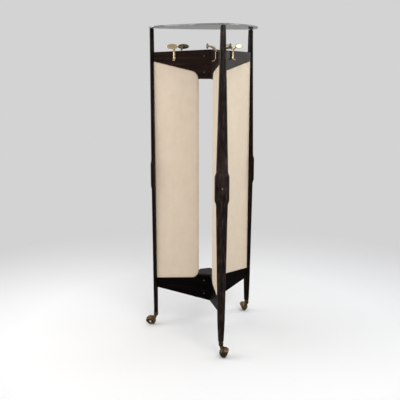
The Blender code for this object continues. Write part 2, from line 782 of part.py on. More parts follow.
def hood_solid():
    """Returns the caster's body: dome, neck, swivel flange, stem and axle boss."""
    placement = axle_placement()
    centre = placement.translation
    flange = Vector((0.0, 0.0, SWIVEL_TOP))
    flange_bottom = flange - Vector((0, 0, SWIVEL_FLANGE_HEIGHT))
    hood = ball(HOOD_RADIUS, placement, ROUND_STEPS, SMALL_ROUND_STEPS)
    neck = cone(centre, (flange + flange_bottom) / 2, NECK_HOOD_RADIUS, NECK_STEM_RADIUS, ROUND_STEPS)
    join(hood, trimmed(neck, (flange * 3 + flange_bottom) / 4, Vector((0, 0, 1))))
    join(hood, bar(flange_bottom, flange, SWIVEL_FLANGE_RADIUS, ROUND_STEPS))
    join(hood, bar(flange_bottom, flange + Vector((0, 0, STEM_LENGTH)), STEM_RADIUS))
    reach = 2 * HOOD_RADIUS
    cut_away = box((-reach, -reach, HOOD_RIM), (reach, reach, reach))
    cut_away.data.transform(placement)
    cut(hood, cut_away)
    cut(hood, ball(HOOD_RADIUS - HOOD_WALL, placement, ROUND_STEPS, SMALL_ROUND_STEPS))
    boss_back = placement @ Vector((0, 0, HOOD_WALL / 2 - HOOD_RADIUS))
    boss_front = placement @ Vector((0, 0, HOOD_RIM))
    join(hood, bar(boss_back, boss_front, AXLE_BOSS_RADIUS))
    bore_back = placement @ Vector((0, 0, 2 * HOOD_WALL - HOOD_RADIUS - FIT_GAP))
    bore_front = placement @ Vector((0, 0, HOOD_RADIUS))
    return cut(hood, bar(bore_back, bore_front, AXLE_RADIUS + FIT_GAP))


def wheel_solid():
    """Returns the wheel: a round rim, a dished web and a hub, bored for the axle."""
    front = WHEEL_BACK + WHEEL_WIDTH
    web = front - WHEEL_DISH
    bore = AXLE_RADIUS + FIT_GAP
    inner = WHEEL_RADIUS - WHEEL_RIM
    profile = [
        (bore, front),
        (WHEEL_HUB_RADIUS, front),
        (WHEEL_HUB_RADIUS + WHEEL_EASE, web),
        (inner - WHEEL_EASE, web),
        (inner, front - WHEEL_EASE / 2),
        (inner + WHEEL_EASE, front),
        (WHEEL_RADIUS - WHEEL_EASE, front - WHEEL_EASE / 3),
        (WHEEL_RADIUS, TREAD_FRONT),
        (WHEEL_RADIUS, WHEEL_BACK + WHEEL_EASE),
        (WHEEL_RADIUS - WHEEL_EASE, WHEEL_BACK),
        (bore, WHEEL_BACK),
    ]
    return turned(profile, ROUND_STEPS, axle_placement(), closed=True)


def axle_solid():
    """Returns the axle: a pin in the hood's boss, with a domed head that keeps the wheel on."""
    seat = WHEEL_BACK + WHEEL_WIDTH + FIT_GAP
    profile = [
        (0.0, seat + AXLE_HEAD_HEIGHT),
        (AXLE_HEAD_RADIUS * 0.55, seat + AXLE_HEAD_HEIGHT * 0.85),
        (AXLE_HEAD_RADIUS * 0.9, seat + AXLE_HEAD_HEIGHT * 0.45),
        (AXLE_HEAD_RADIUS, seat),
        (AXLE_RADIUS, seat),
        (AXLE_RADIUS, 2 * HOOD_WALL - HOOD_RADIUS),
        (0.0, 2 * HOOD_WALL - HOOD_RADIUS),
    ]
    return turned(profile, SMALL_ROUND_STEPS, axle_placement())


# Assembly


def empty(name, parent=None, location=(0, 0, 0), degrees=0.0):
    """Returns an empty that carries pieces."""
    obj = bpy.data.objects.new(name, None)
    bpy.context.scene.collection.objects.link(obj)
    obj.parent = parent
    obj.location = location
    obj.rotation_euler = (0, 0, math.radians(degrees))
    return obj


def stock(solid, material, smooth=math.radians(40)):
    """Takes the mesh out of a workpiece, with its material and shading, ready to be placed."""
    mesh = solid.data
    bpy.data.objects.remove(solid)
    mesh.materials.clear()
    mesh.materials.append(material)
    mesh.shade_smooth()
    mesh.set_sharp_from_angle(angle=smooth)
    return mesh


class Stand:
    """The collection of placed pieces and the empties that carry them."""

    def __init__(self):
        self.pieces = bpy.data.collections.new("coat_stand")
        bpy.context.scene.collection.children.link(self.pieces)
        self.axis = empty("stand_axis")
        self.fins = {fin: empty(f"fin_{fin}", self.axis, degrees=a) for fin, a in FIN_ANGLES.items()}

    def place(self, name, mesh, parent, location=(0, 0, 0), rotation=(0, 0, 0)):
        """Places a piece on its carrier."""
        obj = bpy.data.objects.new(name, mesh)
        self.pieces.objects.link(obj)
        obj.parent = parent
        obj.location = location
        obj.rotation_euler = rotation
        return obj

    def centre(self):
        """Moves the stand so that the middle of its plan lies over the origin."""
        bpy.context.view_layer.update()
        points = [piece.matrix_world @ v.co for piece in self.pieces.objects for v in piece.data.vertices]
        for i in (0, 1):
            places = [point[i] for point in points]
            self.axis.location[i] = -(min(places) + max(places)) / 2


def build_fins(stand, wood, leather, board, brass):
    """Places the posts, arms, panels and panel screws."""
    post = stock(post_solid(), wood)
    cover = stock(panel_cover_solid(), leather)
    core = stock(panel_core_solid(), board)
    length = KNUCKLE_FACE - PANEL_SCREW_HEAD_HEIGHT - POST_INNER + PANEL_SCREW_GRIP
    screw = stock(
        fastener(PANEL_SCREW_HEAD_RADIUS, PANEL_SCREW_HEAD_HEIGHT, PANEL_SCREW_RADIUS, length), brass
    )
    head_seat = KNUCKLE_FACE - PANEL_SCREW_HEAD_HEIGHT
    for fin, carrier in stand.fins.items():
        stand.place(f"post_{fin}", post, carrier)
        stand.place(f"panel_cover_{fin}", cover, carrier)
        stand.place(f"panel_core_{fin}", core, carrier)
        bores = hub_bores("upper", fin)
        upper = arm_solid(upper_arm_outline(), UPPER_ARM_POST_TOP, UPPER_ARM_POST_DEPTH, fin, bores)
        bores = hub_bores("lower", fin)
        lower = arm_solid(lower_arm_outline(), LOWER_ARM_POST_TOP, LOWER_ARM_POST_DEPTH, fin, bores)
        stand.place(f"upper_arm_{fin}", stock(upper, wood), carrier)
        stand.place(f"lower_arm_{fin}", stock(lower, wood), carrier)
        place = (head_seat, 0, PANEL_SCREW_HEIGHT)
        stand.place(f"panel_screw_{fin}", screw, carrier, place, (0, math.radians(90), 0))


def build_hubs(stand, wood, steel):
    """Places the hub blocks with their screws and bolts."""
    screw_length = ARM_THICKNESS + FIT_GAP + HUB_SCREW_GRIP
    screw = stock(
        fastener(HUB_SCREW_HEAD_RADIUS, HUB_SCREW_HEAD_HEIGHT, HUB_SCREW_RADIUS, screw_length), steel
    )
    bolt_length = BLOCK_REAR + FIT_GAP + HUB_BOLT_GRIP
    bolt = stock(fastener(HUB_BOLT_HEAD_RADIUS, HUB_BOLT_HEAD_HEIGHT, HUB_BOLT_RADIUS, bolt_length), steel)
    for hub, span in HUBS.items():
        stand.place(f"hub_block_{hub}", stock(block_solid(hub), wood), stand.axis)
        seat = (0, BLOCK_REAR + FIT_GAP, bolt_height(hub))
        stand.place(f"hub_bolt_{hub}", bolt, stand.axis, seat, (math.radians(-90), 0, 0))
        for fin, face in HUB_SCREW_FACES.items():
            for end, height in hub_screw_heights(*span).items():
                seat = (HUB_SCREW_REACH, face * (ARM_FACE + FIT_GAP), height)
                turn = (math.radians(-90 * face), 0, 0)
                stand.place(f"hub_screw_{hub}_{fin}_{end}", screw, stand.fins[fin], seat, turn)


def build_hooks(stand, brass):
    """Places a hook on each side of each upper arm."""
    hook = stock(hook_solid(), brass)
    for fin, carrier in stand.fins.items():
        sides = (("ccw", ARM_FACE, 0.0), ("cw", -ARM_FACE, math.pi))
        for (side, face, turn), reach in zip(sides, HOOK_REACHES[fin]):
            seat = (reach, face, upper_arm_top(reach))
            stand.place(f"hook_{fin}_{side}", hook, carrier, seat, (0, 0, turn))


def build_top(stand, glass, rubber):
    """Places the glass top and its pads."""
    stand.place("glass_top", stock(glass_solid(), glass), stand.axis)
    profile = [(0, PAD_THICKNESS), (PAD_RADIUS, PAD_THICKNESS), (PAD_RADIUS, 0), (0, 0)]
    pad = stock(turned(profile, SMALL_ROUND_STEPS), rubber)
    for fin, carrier in stand.fins.items():
        stand.place(f"glass_pad_{fin}", pad, carrier, (POST_CIRCLE, 0, POST_TOP + FIT_GAP))


def build_casters(stand, brass):
    """Places the ferrules and the casters, each caster on an empty on its swivel axis."""
    ferrule = stock(ferrule_solid(), brass)
    hood = stock(hood_solid(), brass)
    wheel = stock(wheel_solid(), brass)
    axle = stock(axle_solid(), brass)
    for fin, carrier in stand.fins.items():
        stand.place(f"ferrule_{fin}", ferrule, carrier, (POST_CIRCLE, 0, 0))
        heading = CASTER_HEADINGS[fin] - FIN_ANGLES[fin]
        swivel = empty(f"swivel_{fin}", carrier, (POST_CIRCLE, 0, 0), heading)
        stand.place(f"caster_hood_{fin}", hood, swivel)
        stand.place(f"caster_axle_{fin}", axle, swivel)
        stand.place(f"caster_wheel_{fin}", wheel, swivel)


def main():
    """Builds the coat stand."""
    clear_scene()
    wood = finish("ebonised_wood", (0.022, 0.014, 0.010), 0.38)
    leather = finish("cream_leatherette", (0.68, 0.58, 0.45), 0.55)
    board = finish("panel_board", (0.45, 0.32, 0.19), 0.75)
    brass = finish("aged_brass", (0.60, 0.43, 0.20), 0.32, 1.0)
    steel = finish("blackened_steel", (0.10, 0.10, 0.10), 0.45, 1.0)
    glass = finish("grey_glass", (0.42, 0.43, 0.42), 0.05)
    rubber = finish("pad_rubber", (0.05, 0.05, 0.05), 0.80)
    stand = Stand()
    build_fins(stand, wood, leather, board, brass)
    build_hubs(stand, wood, steel)
    build_hooks(stand, brass)
    build_top(stand, glass, rubber)
    build_casters(stand, brass)
    stand.centre()


main()
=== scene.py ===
"""Looks of the three-post coat stand: upholstered panels, polished wood, cast brass and grey glass.

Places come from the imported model: the tripod's axis from the shelf's mount, the fins and the casters from the
joints, and other places from the nodes. Sizes are fields of the classes. Units are metres, +Z is up and the
floor is at zero.
"""

import json
import logging
import math
from abc import ABC, abstractmethod
from collections.abc import Sequence
from dataclasses import dataclass, field, replace
from enum import Enum
from typing import Any

import bmesh
import bpy
from mathutils import Matrix, Vector, noise


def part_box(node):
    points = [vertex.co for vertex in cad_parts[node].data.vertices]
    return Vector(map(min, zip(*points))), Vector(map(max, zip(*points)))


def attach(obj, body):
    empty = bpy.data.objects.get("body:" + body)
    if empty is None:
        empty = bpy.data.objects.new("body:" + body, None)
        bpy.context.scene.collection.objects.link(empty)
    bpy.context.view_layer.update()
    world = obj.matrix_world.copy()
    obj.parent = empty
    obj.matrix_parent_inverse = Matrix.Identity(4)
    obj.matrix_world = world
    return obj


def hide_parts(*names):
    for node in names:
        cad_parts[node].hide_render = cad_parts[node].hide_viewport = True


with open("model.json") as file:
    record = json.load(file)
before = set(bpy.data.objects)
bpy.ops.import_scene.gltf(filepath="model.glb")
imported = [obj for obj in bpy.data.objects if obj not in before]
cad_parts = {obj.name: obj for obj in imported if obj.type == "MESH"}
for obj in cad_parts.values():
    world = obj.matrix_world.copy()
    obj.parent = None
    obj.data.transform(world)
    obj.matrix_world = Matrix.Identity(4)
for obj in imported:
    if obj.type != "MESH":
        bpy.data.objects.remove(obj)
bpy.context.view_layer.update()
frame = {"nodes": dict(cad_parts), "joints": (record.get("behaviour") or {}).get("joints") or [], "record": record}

LOG = logging.getLogger("coat_stand")
MERGE_DISTANCE = 1e-5
RELAX_SHARE = 0.5
SAME_PLANE = math.radians(1)
EASED_EDGE = math.radians(28)
HARD_EDGE = math.radians(34)
SOFT_EDGE = math.radians(40)

Point = tuple[float, float]
Profile = Sequence[Point]
Triple = tuple[float, float, float]
Colour = Triple
Object = bpy.types.Object
Node = bpy.types.Node
Socket = bpy.types.NodeSocket
BMesh = bmesh.types.BMesh


class Fin(Enum):
    """The three fins, by where they stand."""

    FRONT = "front"
    LEFT = "left"
    RIGHT = "right"


class Slot(Enum):
    """The names of the model's material slots."""

    WOOD = "ebonised_wood"
    LEATHERETTE = "cream_leatherette"
    BRASS = "aged_brass"
    STEEL = "blackened_steel"
    GLASS = "grey_glass"
    RUBBER = "pad_rubber"


class Grain(Enum):
    """The way that a board's grain runs."""

    UPRIGHT = "upright"
    LENGTHWISE = "lengthwise"


# Node trees


class Graph:
    """A node tree under construction."""

    def __init__(self, tree: bpy.types.NodeTree) -> None:
        """Takes the tree that the nodes go into."""
        self.tree = tree

    def add(self, kind: str, inputs: dict[Any, Any] | None = None, **settings: Any) -> Node:
        """Adds a node.

        Args:
            kind: The node's type.
            inputs: Values or output sockets, by the name or place of the input socket.
            settings: The node's own properties.

        Returns:
            The node.
        """
        node = self.tree.nodes.new(kind)
        for name, value in settings.items():
            setattr(node, name, value)
        for key, value in (inputs or {}).items():
            if isinstance(value, Socket):
                self.tree.links.new(value, node.inputs[key])
            else:
                node.inputs[key].default_value = value
        return node

    def calculate(self, operation: str, first: Any, second: Any = 0.0) -> Socket:
        """Returns the result of a Math node on two numbers or sockets."""
        return self.add("ShaderNodeMath", {0: first, 1: second}, operation=operation).outputs[0]

    def pattern(self, scale: Sequence[float], turn: float = 0.0) -> Socket:
        """Lays out a pattern on the piece's own coordinates.

        Args:
            scale: Repeats per metre along each turned axis.
            turn: The heading of the pattern's X axis about +Z.

        Returns:
            The coordinates' socket.
        """
        place = self.add("ShaderNodeTexCoord").outputs["Object"]
        size = tuple(1 / repeats for repeats in scale)
        mapping = {"Vector": place, "Rotation": (0.0, 0.0, turn), "Scale": size}
        return self.add("ShaderNodeMapping", mapping, vector_type="TEXTURE").outputs[0]

    def even(self, pitch: float) -> Socket:
        """Lays out a pattern that repeats alike along every axis."""
        return self.pattern((pitch, pitch, pitch))

    def cloud(self, place: Any, detail: float = 4.0, rough: float = 0.55, warp: float = 0.0) -> Socket:
        """Returns the value of a noise laid on some coordinates."""
        inputs = {"Vector": place, "Scale": 1.0, "Detail": detail, "Roughness": rough, "Distortion": warp}
        return self.add("ShaderNodeTexNoise", inputs).outputs[0]

    def ramp(self, value: Any, stops: Sequence[tuple[float, Colour]]) -> Socket:
        """Colours a value by a ramp.

        Args:
            value: The value's socket.
            stops: Places on the ramp with their colours.

        Returns:
            The colour's socket.
        """
        node = self.add("ShaderNodeValToRGB", {0: value})
        marks = node.color_ramp.elements
        while len(marks) < len(stops):
            marks.new(0.5)
        for mark, (position, colour) in zip(marks, stops):
            mark.position = position
            mark.color = (*colour, 1.0)
        return node.outputs["Color"]

    def spread(self, value: Any, low: float, high: float, start: float = 0.0, end: float = 1.0) -> Socket:
        """Returns a value moved from one range to another, and held at its ends."""
        inputs = {"Value": value, "From Min": start, "From Max": end, "To Min": low, "To Max": high}
        return self.add("ShaderNodeMapRange", inputs).outputs[0]

    def blend(self, share: Any, base: Any, over: Any) -> Socket:
        """Returns a mix of two colours, given as sockets or colours."""
        sides = [c if isinstance(c, Socket) else (*c, 1.0) for c in (base, over)]
        return self.add("ShaderNodeMix", {0: share, 6: sides[0], 7: sides[1]}, data_type="RGBA").outputs[2]

    def relief(
        self, height: Any, depth: float, strength: float = 1.0, under: Socket | None = None
    ) -> Socket:
        """Makes a bump.

        Args:
            height: The socket of the surface's height.
            depth: The depth of a full step.
            strength: The share of the bump that shows.
            under: The normal of another bump that it lies on, if there is one.

        Returns:
            The normal's socket.
        """
        inputs = {"Height": height, "Distance": depth, "Strength": strength}
        if under is not None:
            inputs["Normal"] = under
        return self.add("ShaderNodeBump", inputs).outputs[0]


# Finishes


@dataclass(frozen=True)
class Finish(ABC):
    """A finish that paints one material."""

    name: str

    def material(self) -> bpy.types.Material:
        """Makes the material when it is first asked for.

        Returns:
            The finish's material.
        """
        made = bpy.data.materials.get(self.name)
        if made is None:
            made = bpy.data.materials.new(self.name)
            made.use_nodes = True
            self.paint(Graph(made.node_tree), made.node_tree.nodes["Principled BSDF"])
        return made

    @abstractmethod
    def paint(self, graph: Graph, shader: Node) -> None:
        """Links the finish's nodes to its shader.

        Args:
            graph: The material's node tree.
            shader: Its Principled shader.
        """

    @staticmethod
    def link(graph: Graph, shader: Node, **sockets: Any) -> None:
        """Links sockets to the shader's inputs of the same names, with spaces for underscores."""
        for name, socket in sockets.items():
            graph.tree.links.new(socket, shader.inputs[name.replace("_", " ")])

    @staticmethod
    def fix(shader: Node, values: dict[str, Any]) -> None:
        """Sets the shader's values that are the same all over."""
        for name, value in values.items():
            shader.inputs[name].default_value = value


@dataclass(frozen=True)
class Stain:
    """The colours of a wood stain, and the gloss of the polish over it."""

    black: Colour
    brown: Colour
    rubbed: Colour
    gloss: float


@dataclass(frozen=True)
class EbonisedWood(Finish):
    """Black-stained wood under a satin polish, with its grain along the piece."""

    stain: Stain
    grain: Grain
    heading: float = 0.0
    along: float = 5.0
    across: float = 130.0
    pore_fineness: float = 4.5
    wear_pitch: Triple = (9.0, 9.0, 4.0)
    figure_depth: float = 0.0004
    pore_depth: float = 0.0003

    def paint(self, graph: Graph, shader: Node) -> None:
        """Paints grain bands, open pores and a rubbed polish.

        Args:
            graph: The material's node tree.
            shader: Its Principled shader.
        """
        figure = graph.cloud(self.lines(graph, 1.0), detail=5.0, rough=0.62, warp=0.35)
        pores = graph.cloud(self.lines(graph, self.pore_fineness), detail=3.0, rough=0.5)
        wear = graph.cloud(graph.pattern(self.wear_pitch), detail=5.0, rough=0.6)
        stain = self.stain
        stained = graph.ramp(figure, [(0.38, stain.black), (0.54, stain.brown), (0.72, stain.rubbed)])
        pored = graph.blend(graph.spread(pores, 0.0, 0.75, 0.56, 0.70), stained, stain.black)
        colour = graph.blend(graph.spread(wear, 0.0, 0.35, 0.58, 0.80), pored, stain.rubbed)
        polish = graph.spread(graph.calculate("ADD", wear, pores), 0.30, 0.50, 0.7, 1.3)
        normal = graph.relief(figure, self.figure_depth, strength=0.25)
        normal = graph.relief(pores, self.pore_depth, strength=0.35, under=normal)
        self.link(graph, shader, Base_Color=colour, Roughness=polish, Normal=normal)
        self.fix(shader, {"Specular IOR Level": stain.gloss})

    def lines(self, graph: Graph, fineness: float) -> Socket:
        """Lays out a noise that is drawn out along the grain.

        Args:
            graph: The material's node tree.
            fineness: How many times finer than the figure it is.

        Returns:
            The coordinates' socket.
        """
        along, across = self.along * fineness, self.across * fineness
        upright = self.grain is Grain.UPRIGHT
        return graph.pattern((across, across, along) if upright else (along, across, across), self.heading)


@dataclass(frozen=True)
class Leatherette(Finish):
    """Matt cream leatherette with a fine pebble grain, yellowed in places, dirty along its edges, with painted
    shade along its edges and towards its foot.
    """

    cream: Colour = (0.738, 0.628, 0.505)
    yellowed: Colour = (0.655, 0.538, 0.412)
    # The dark colour of the dirt along the edges and of the painted shade at the edges and the foot.
    soiled_and_shaded: Colour = (0.430, 0.330, 0.225)
    band_pitch: Triple = (16.0, 16.0, 0.7)
    band_share: float = 0.5
    mottle_pitch: Triple = (22.0, 22.0, 14.0)
    # Painted shade: the cover is blended towards its dark colour near its foot, fading out higher up.
    foot_shade: float = 0.14
    foot_shade_run: Point = (0.3, 1.3)
    # Painted shade: a wide, faint band of the dark colour along the cover's rolled edges.
    edge_shade_strength: float = 0.07
    edge_shade_spread: float = 0.25
    pebble_pitch: float = 720.0
    pebble_depth: float = 0.00022
    crease_pitch: float = 240.0
    crease_depth: float = 0.0003

    def paint(self, graph: Graph, shader: Node) -> None:
        """Paints upright tone bands, mottling, dirty edges with painted edge shade, painted shade towards the
        foot, and the pebble grain.

        Args:
            graph: The material's node tree.
            shader: Its Principled shader.
        """
        bands = graph.cloud(graph.pattern(self.band_pitch), detail=3.0, rough=0.5)
        mottle = graph.cloud(graph.pattern(self.mottle_pitch), detail=6.0, rough=0.68)
        faint = graph.calculate("MULTIPLY", bands, self.band_share)
        tone = graph.spread(graph.calculate("ADD", faint, mottle), 0.0, 1.0, 0.40, 1.10)
        colour = graph.blend(tone, self.cream, self.yellowed)
        height = graph.add("ShaderNodeSeparateXYZ", {0: graph.even(1.0)}).outputs["Z"]
        # Painted shade: the cover gets darker towards its bottom.
        colour = graph.blend(graph.spread(height, self.foot_shade, 0.0, *self.foot_shade_run), colour, self.soiled_and_shaded)
        # Edge darkening: blotchy dirt close to the edge, plus a wider band of painted shade.
        edge = graph.add("ShaderNodeAttribute", attribute_name="edge_dirt_and_shade").outputs["Fac"]
        dirt_and_shade = graph.calculate("MULTIPLY", edge, graph.spread(mottle, 0.10, 0.38, 0.35, 0.70))
        edge_shade = graph.calculate("MULTIPLY", graph.calculate("POWER", edge, self.edge_shade_spread), self.edge_shade_strength)
        colour = graph.blend(graph.calculate("ADD", dirt_and_shade, edge_shade), colour, self.soiled_and_shaded)
        cells = {"Vector": graph.even(1.0), "Scale": self.pebble_pitch}
        pebbles = graph.add("ShaderNodeTexVoronoi", cells).outputs["Distance"]
        creases = graph.cloud(graph.even(self.crease_pitch), detail=3.0)
        normal = graph.relief(pebbles, self.pebble_depth, strength=0.45)
        normal = graph.relief(creases, self.crease_depth, strength=0.25, under=normal)
        rough = graph.spread(mottle, 0.48, 0.64, 0.3, 0.7)
        self.link(graph, shader, Base_Color=colour, Roughness=rough, Normal=normal)
        self.fix(shader, {"Specular IOR Level": 0.35, "Sheen Weight": 0.05, "Sheen Roughness": 0.5})


@dataclass(frozen=True)
class Brass(Finish):
    """Cast brass, tarnished in its hollows and worn bright where hands and floors rub it."""

    bright: Colour
    tarnished: Colour
    stained: Colour
    smooth: float
    dull: float
    bright_share: float = 0.5
    metal: float = 1.0
    share_run: float = 0.35
    worn_weight: float = 0.55
    patina_pitch: float = 55.0
    speck_pitch: float = 420.0
    speck_depth: float = 0.00008

    def paint(self, graph: Graph, shader: Node) -> None:
        """Paints tarnish by the shape's hollows and by a blotchy patina.

        Args:
            graph: The material's node tree.
            shader: Its Principled shader.
        """
        patina = graph.cloud(graph.even(self.patina_pitch), detail=6.0, rough=0.65)
        specks = graph.cloud(graph.even(self.speck_pitch), detail=3.0)
        hollow = graph.add("ShaderNodeNewGeometry").outputs["Pointiness"]
        worn = graph.spread(hollow, 0.0, 1.0, 0.44, 0.56)
        mixed = graph.calculate("ADD", graph.calculate("MULTIPLY", worn, self.worn_weight), patina)
        least = 1.0 - self.bright_share
        share = graph.spread(mixed, 0.0, 1.0, least, least + self.share_run)
        colour = graph.blend(share, self.tarnished, self.bright)
        colour = graph.blend(graph.spread(specks, 0.0, 0.5, 0.58, 0.72), colour, self.stained)
        rough = graph.spread(share, self.dull, self.smooth)
        normal = graph.relief(specks, self.speck_depth, strength=0.4)
        self.link(graph, shader, Base_Color=colour, Roughness=rough, Normal=normal)
        self.fix(shader, {"Metallic": self.metal})


@dataclass(frozen=True)
class BlackenedSteel(Finish):
    """Screw steel, blackened and rubbed grey on its crowns."""

    black: Colour = (0.055, 0.052, 0.050)
    rubbed: Colour = (0.24, 0.23, 0.22)
    scuff_pitch: float = 500.0

    def paint(self, graph: Graph, shader: Node) -> None:
        """Paints rubbed crowns over a blackened ground.

        Args:
            graph: The material's node tree.
            shader: Its Principled shader.
        """
        scuffs = graph.cloud(graph.even(self.scuff_pitch), detail=4.0)
        colour = graph.blend(graph.spread(scuffs, 0.15, 0.95, 0.38, 0.62), self.black, self.rubbed)
        rough = graph.spread(scuffs, 0.46, 0.28, 0.35, 0.65)
        self.link(graph, shader, Base_Color=colour, Roughness=rough)
        self.fix(shader, {"Metallic": 1.0})


@dataclass(frozen=True)
class GreyGlass(Finish):
    """Smoke-grey plate glass with a polished edge and a trace of dust."""

    tint: Colour = (0.400, 0.408, 0.398)
    dusted: Colour = (0.450, 0.456, 0.446)
    dust_pitch: float = 14.0
    clearness: float = 0.85
    refraction: float = 1.45

    def paint(self, graph: Graph, shader: Node) -> None:
        """Paints a grey body with a faint, uneven bloom of dust.

        Args:
            graph: The material's node tree.
            shader: Its Principled shader.
        """
        dust = graph.cloud(graph.even(self.dust_pitch), detail=6.0, rough=0.6)
        colour = graph.blend(graph.spread(dust, 0.0, 1.0, 0.45, 0.75), self.tint, self.dusted)
        rough = graph.spread(dust, 0.005, 0.025, 0.4, 0.8)
        self.link(graph, shader, Base_Color=colour, Roughness=rough)
        self.fix(shader, {"Transmission Weight": self.clearness, "IOR": self.refraction})


@dataclass(frozen=True)
class PadRubber(Finish):
    """Dark rubber with a dusty bloom."""

    fresh: Colour = (0.030, 0.029, 0.028)
    dusty: Colour = (0.085, 0.082, 0.078)
    bloom_pitch: float = 300.0
    bloom_depth: float = 0.0001

    def paint(self, graph: Graph, shader: Node) -> None:
        """Paints a bloom over dark rubber.

        Args:
            graph: The material's node tree.
            shader: Its Principled shader.
        """
        bloom = graph.cloud(graph.even(self.bloom_pitch), detail=5.0)
        colour = graph.blend(graph.spread(bloom, 0.0, 1.0, 0.4, 0.7), self.fresh, self.dusty)
        normal = graph.relief(bloom, self.bloom_depth, strength=0.4)
        self.link(graph, shader, Base_Color=colour, Roughness=graph.spread(bloom, 0.7, 0.9), Normal=normal)


@dataclass(frozen=True)
class RawBoard(Finish):
    """The raw ply of a panel's core, which its cover hides."""

    pale: Colour = (0.52, 0.39, 0.24)
    dark: Colour = (0.34, 0.23, 0.13)
    figure_pitch: Triple = (70.0, 70.0, 3.0)
    figure_depth: float = 0.0004

    def paint(self, graph: Graph, shader: Node) -> None:
        """Paints ply figure along the board's height.

        Args:
            graph: The material's node tree.
            shader: Its Principled shader.
        """
        figure = graph.cloud(graph.pattern(self.figure_pitch), detail=5.0, warp=0.5)
        normal = graph.relief(figure, self.figure_depth, strength=0.4)
        colour = graph.blend(figure, self.pale, self.dark)
        self.link(graph, shader, Base_Color=colour, Roughness=graph.spread(figure, 0.7, 0.85), Normal=normal)


# Painted light: the near hooks of the left and right arms take this brighter, less metallic brass.
LIT_HOOK_BRASS = Brass(
    "lit_hook_brass",
    bright=(0.92, 0.76, 0.46),
    tarnished=(0.54, 0.41, 0.20),
    stained=(0.30, 0.21, 0.09),
    smooth=0.26,
    dull=0.44,
    bright_share=0.62,
    metal=0.80,
)
# The other hooks take this darker brass as painted shade; the panel screws take it as tarnish.
TARNISHED_AND_SHADED_BRASS = Brass(
    "tarnished_and_shaded_brass",
    bright=(0.40, 0.345, 0.215),
    tarnished=(0.170, 0.145, 0.090),
    stained=(0.085, 0.072, 0.046),
    smooth=0.28,
    dull=0.48,
    bright_share=0.45,
)
CASTER_BRASS = Brass(
    "antique_caster_brass",
    bright=(0.27, 0.180, 0.094),
    tarnished=(0.088, 0.057, 0.033),
    stained=(0.042, 0.028, 0.017),
    smooth=0.30,
    dull=0.48,
    bright_share=0.42,
)
# Painted highlight: a pale, half-metallic brass that makes the wheel pins shine at the hubs.
PIN_HIGHLIGHT_BRASS = Brass(
    "pale_pin_highlight_brass",
    bright=(0.94, 0.86, 0.72),
    tarnished=(0.70, 0.58, 0.40),
    stained=(0.36, 0.27, 0.16),
    smooth=0.18,
    dull=0.34,
    bright_share=0.80,
    metal=0.45,
)
# Bronzed brass of the foot sleeves; the front hood also takes it, as painted shade.
SLEEVE_AND_SHADED_HOOD_BRASS = Brass(
    "bronzed_sleeve_and_shaded_hood_brass",
    bright=(0.150, 0.100, 0.058),
    tarnished=(0.050, 0.034, 0.022),
    stained=(0.026, 0.018, 0.012),
    smooth=0.34,
    dull=0.52,
    bright_share=0.40,
)
FRONT_STAIN = Stain(
    black=(0.0022, 0.0011, 0.0007), brown=(0.0165, 0.0085, 0.0052), rubbed=(0.066, 0.039, 0.027), gloss=0.26
)
# Painted shade: the side posts take a darker, duller copy of the front post's stain.
SHADED_SIDE_STAIN = Stain(
    black=(0.0012, 0.0006, 0.0003), brown=(0.0075, 0.0032, 0.0016), rubbed=(0.030, 0.0150, 0.0088), gloss=0.12
)
UPPER_STAIN = Stain(
    black=(0.0064, 0.0020, 0.0009), brown=(0.0200, 0.0066, 0.0030), rubbed=(0.042, 0.017, 0.0085), gloss=0.22
)
GLOSSY_STAIN = replace(UPPER_STAIN, gloss=0.34)
# Painted shade: the lower arms take a near-black, duller copy of the arms' stain.
SHADED_LOWER_STAIN = Stain(
    black=(0.0006, 0.0004, 0.0003),
    brown=(0.0023, 0.0013, 0.0009),
    rubbed=(0.0072, 0.0044, 0.0030),
    gloss=0.06,
)
FRONT_WOOD = EbonisedWood("ebonised_front_post", FRONT_STAIN, Grain.UPRIGHT, along=20.0, across=110.0)
SHADED_SIDE_WOOD = EbonisedWood("ebonised_side_post_shaded", SHADED_SIDE_STAIN, Grain.UPRIGHT, along=20.0, across=110.0)
BLOCK_WOOD = EbonisedWood("ebonised_hub_block", FRONT_STAIN, Grain.UPRIGHT)
LEATHERETTE = Leatherette("cream_leatherette_cover")
SCREW_STEEL = BlackenedSteel("blackened_screw_steel")
PANE_GLASS = GreyGlass("smoke_grey_glass")
BUTTON_RUBBER = PadRubber("dark_pad_rubber")
CORE_BOARD = RawBoard("raw_core_board")


# Meshes


def new_object(name: str, data: bpy.types.ID) -> Object:
    """Adds an object to the scene, at the origin.

    Args:
        name: The object's name.
        data: Its mesh, lamp or camera.

    Returns:
        The object.
    """
    obj = bpy.data.objects.new(name, data)
    bpy.context.scene.collection.objects.link(obj)
    return obj


def opened(mesh: bpy.types.Mesh) -> BMesh:
    """Opens a mesh for modelling.

    Args:
        mesh: The mesh, which stays as it is.

    Returns:
        A bmesh of it.
    """
    bm = bmesh.new()
    bm.from_mesh(mesh)
    return bm


def reopened(obj: Object) -> BMesh:
    """Opens an object's mesh for modelling, and removes the object.

    Args:
        obj: The object.

    Returns:
        A bmesh of its mesh.
    """
    bm = opened(obj.data)
    bpy.data.objects.remove(obj)
    return bm


def as_object(name: str, bm: BMesh) -> Object:
    """Makes an object of a bmesh as it is.

    Args:
        name: The object's name.
        bm: The bmesh, which is freed.

    Returns:
        The object.
    """
    mesh = bpy.data.meshes.new(name)
    bm.to_mesh(mesh)
    bm.free()
    return new_object(name, mesh)


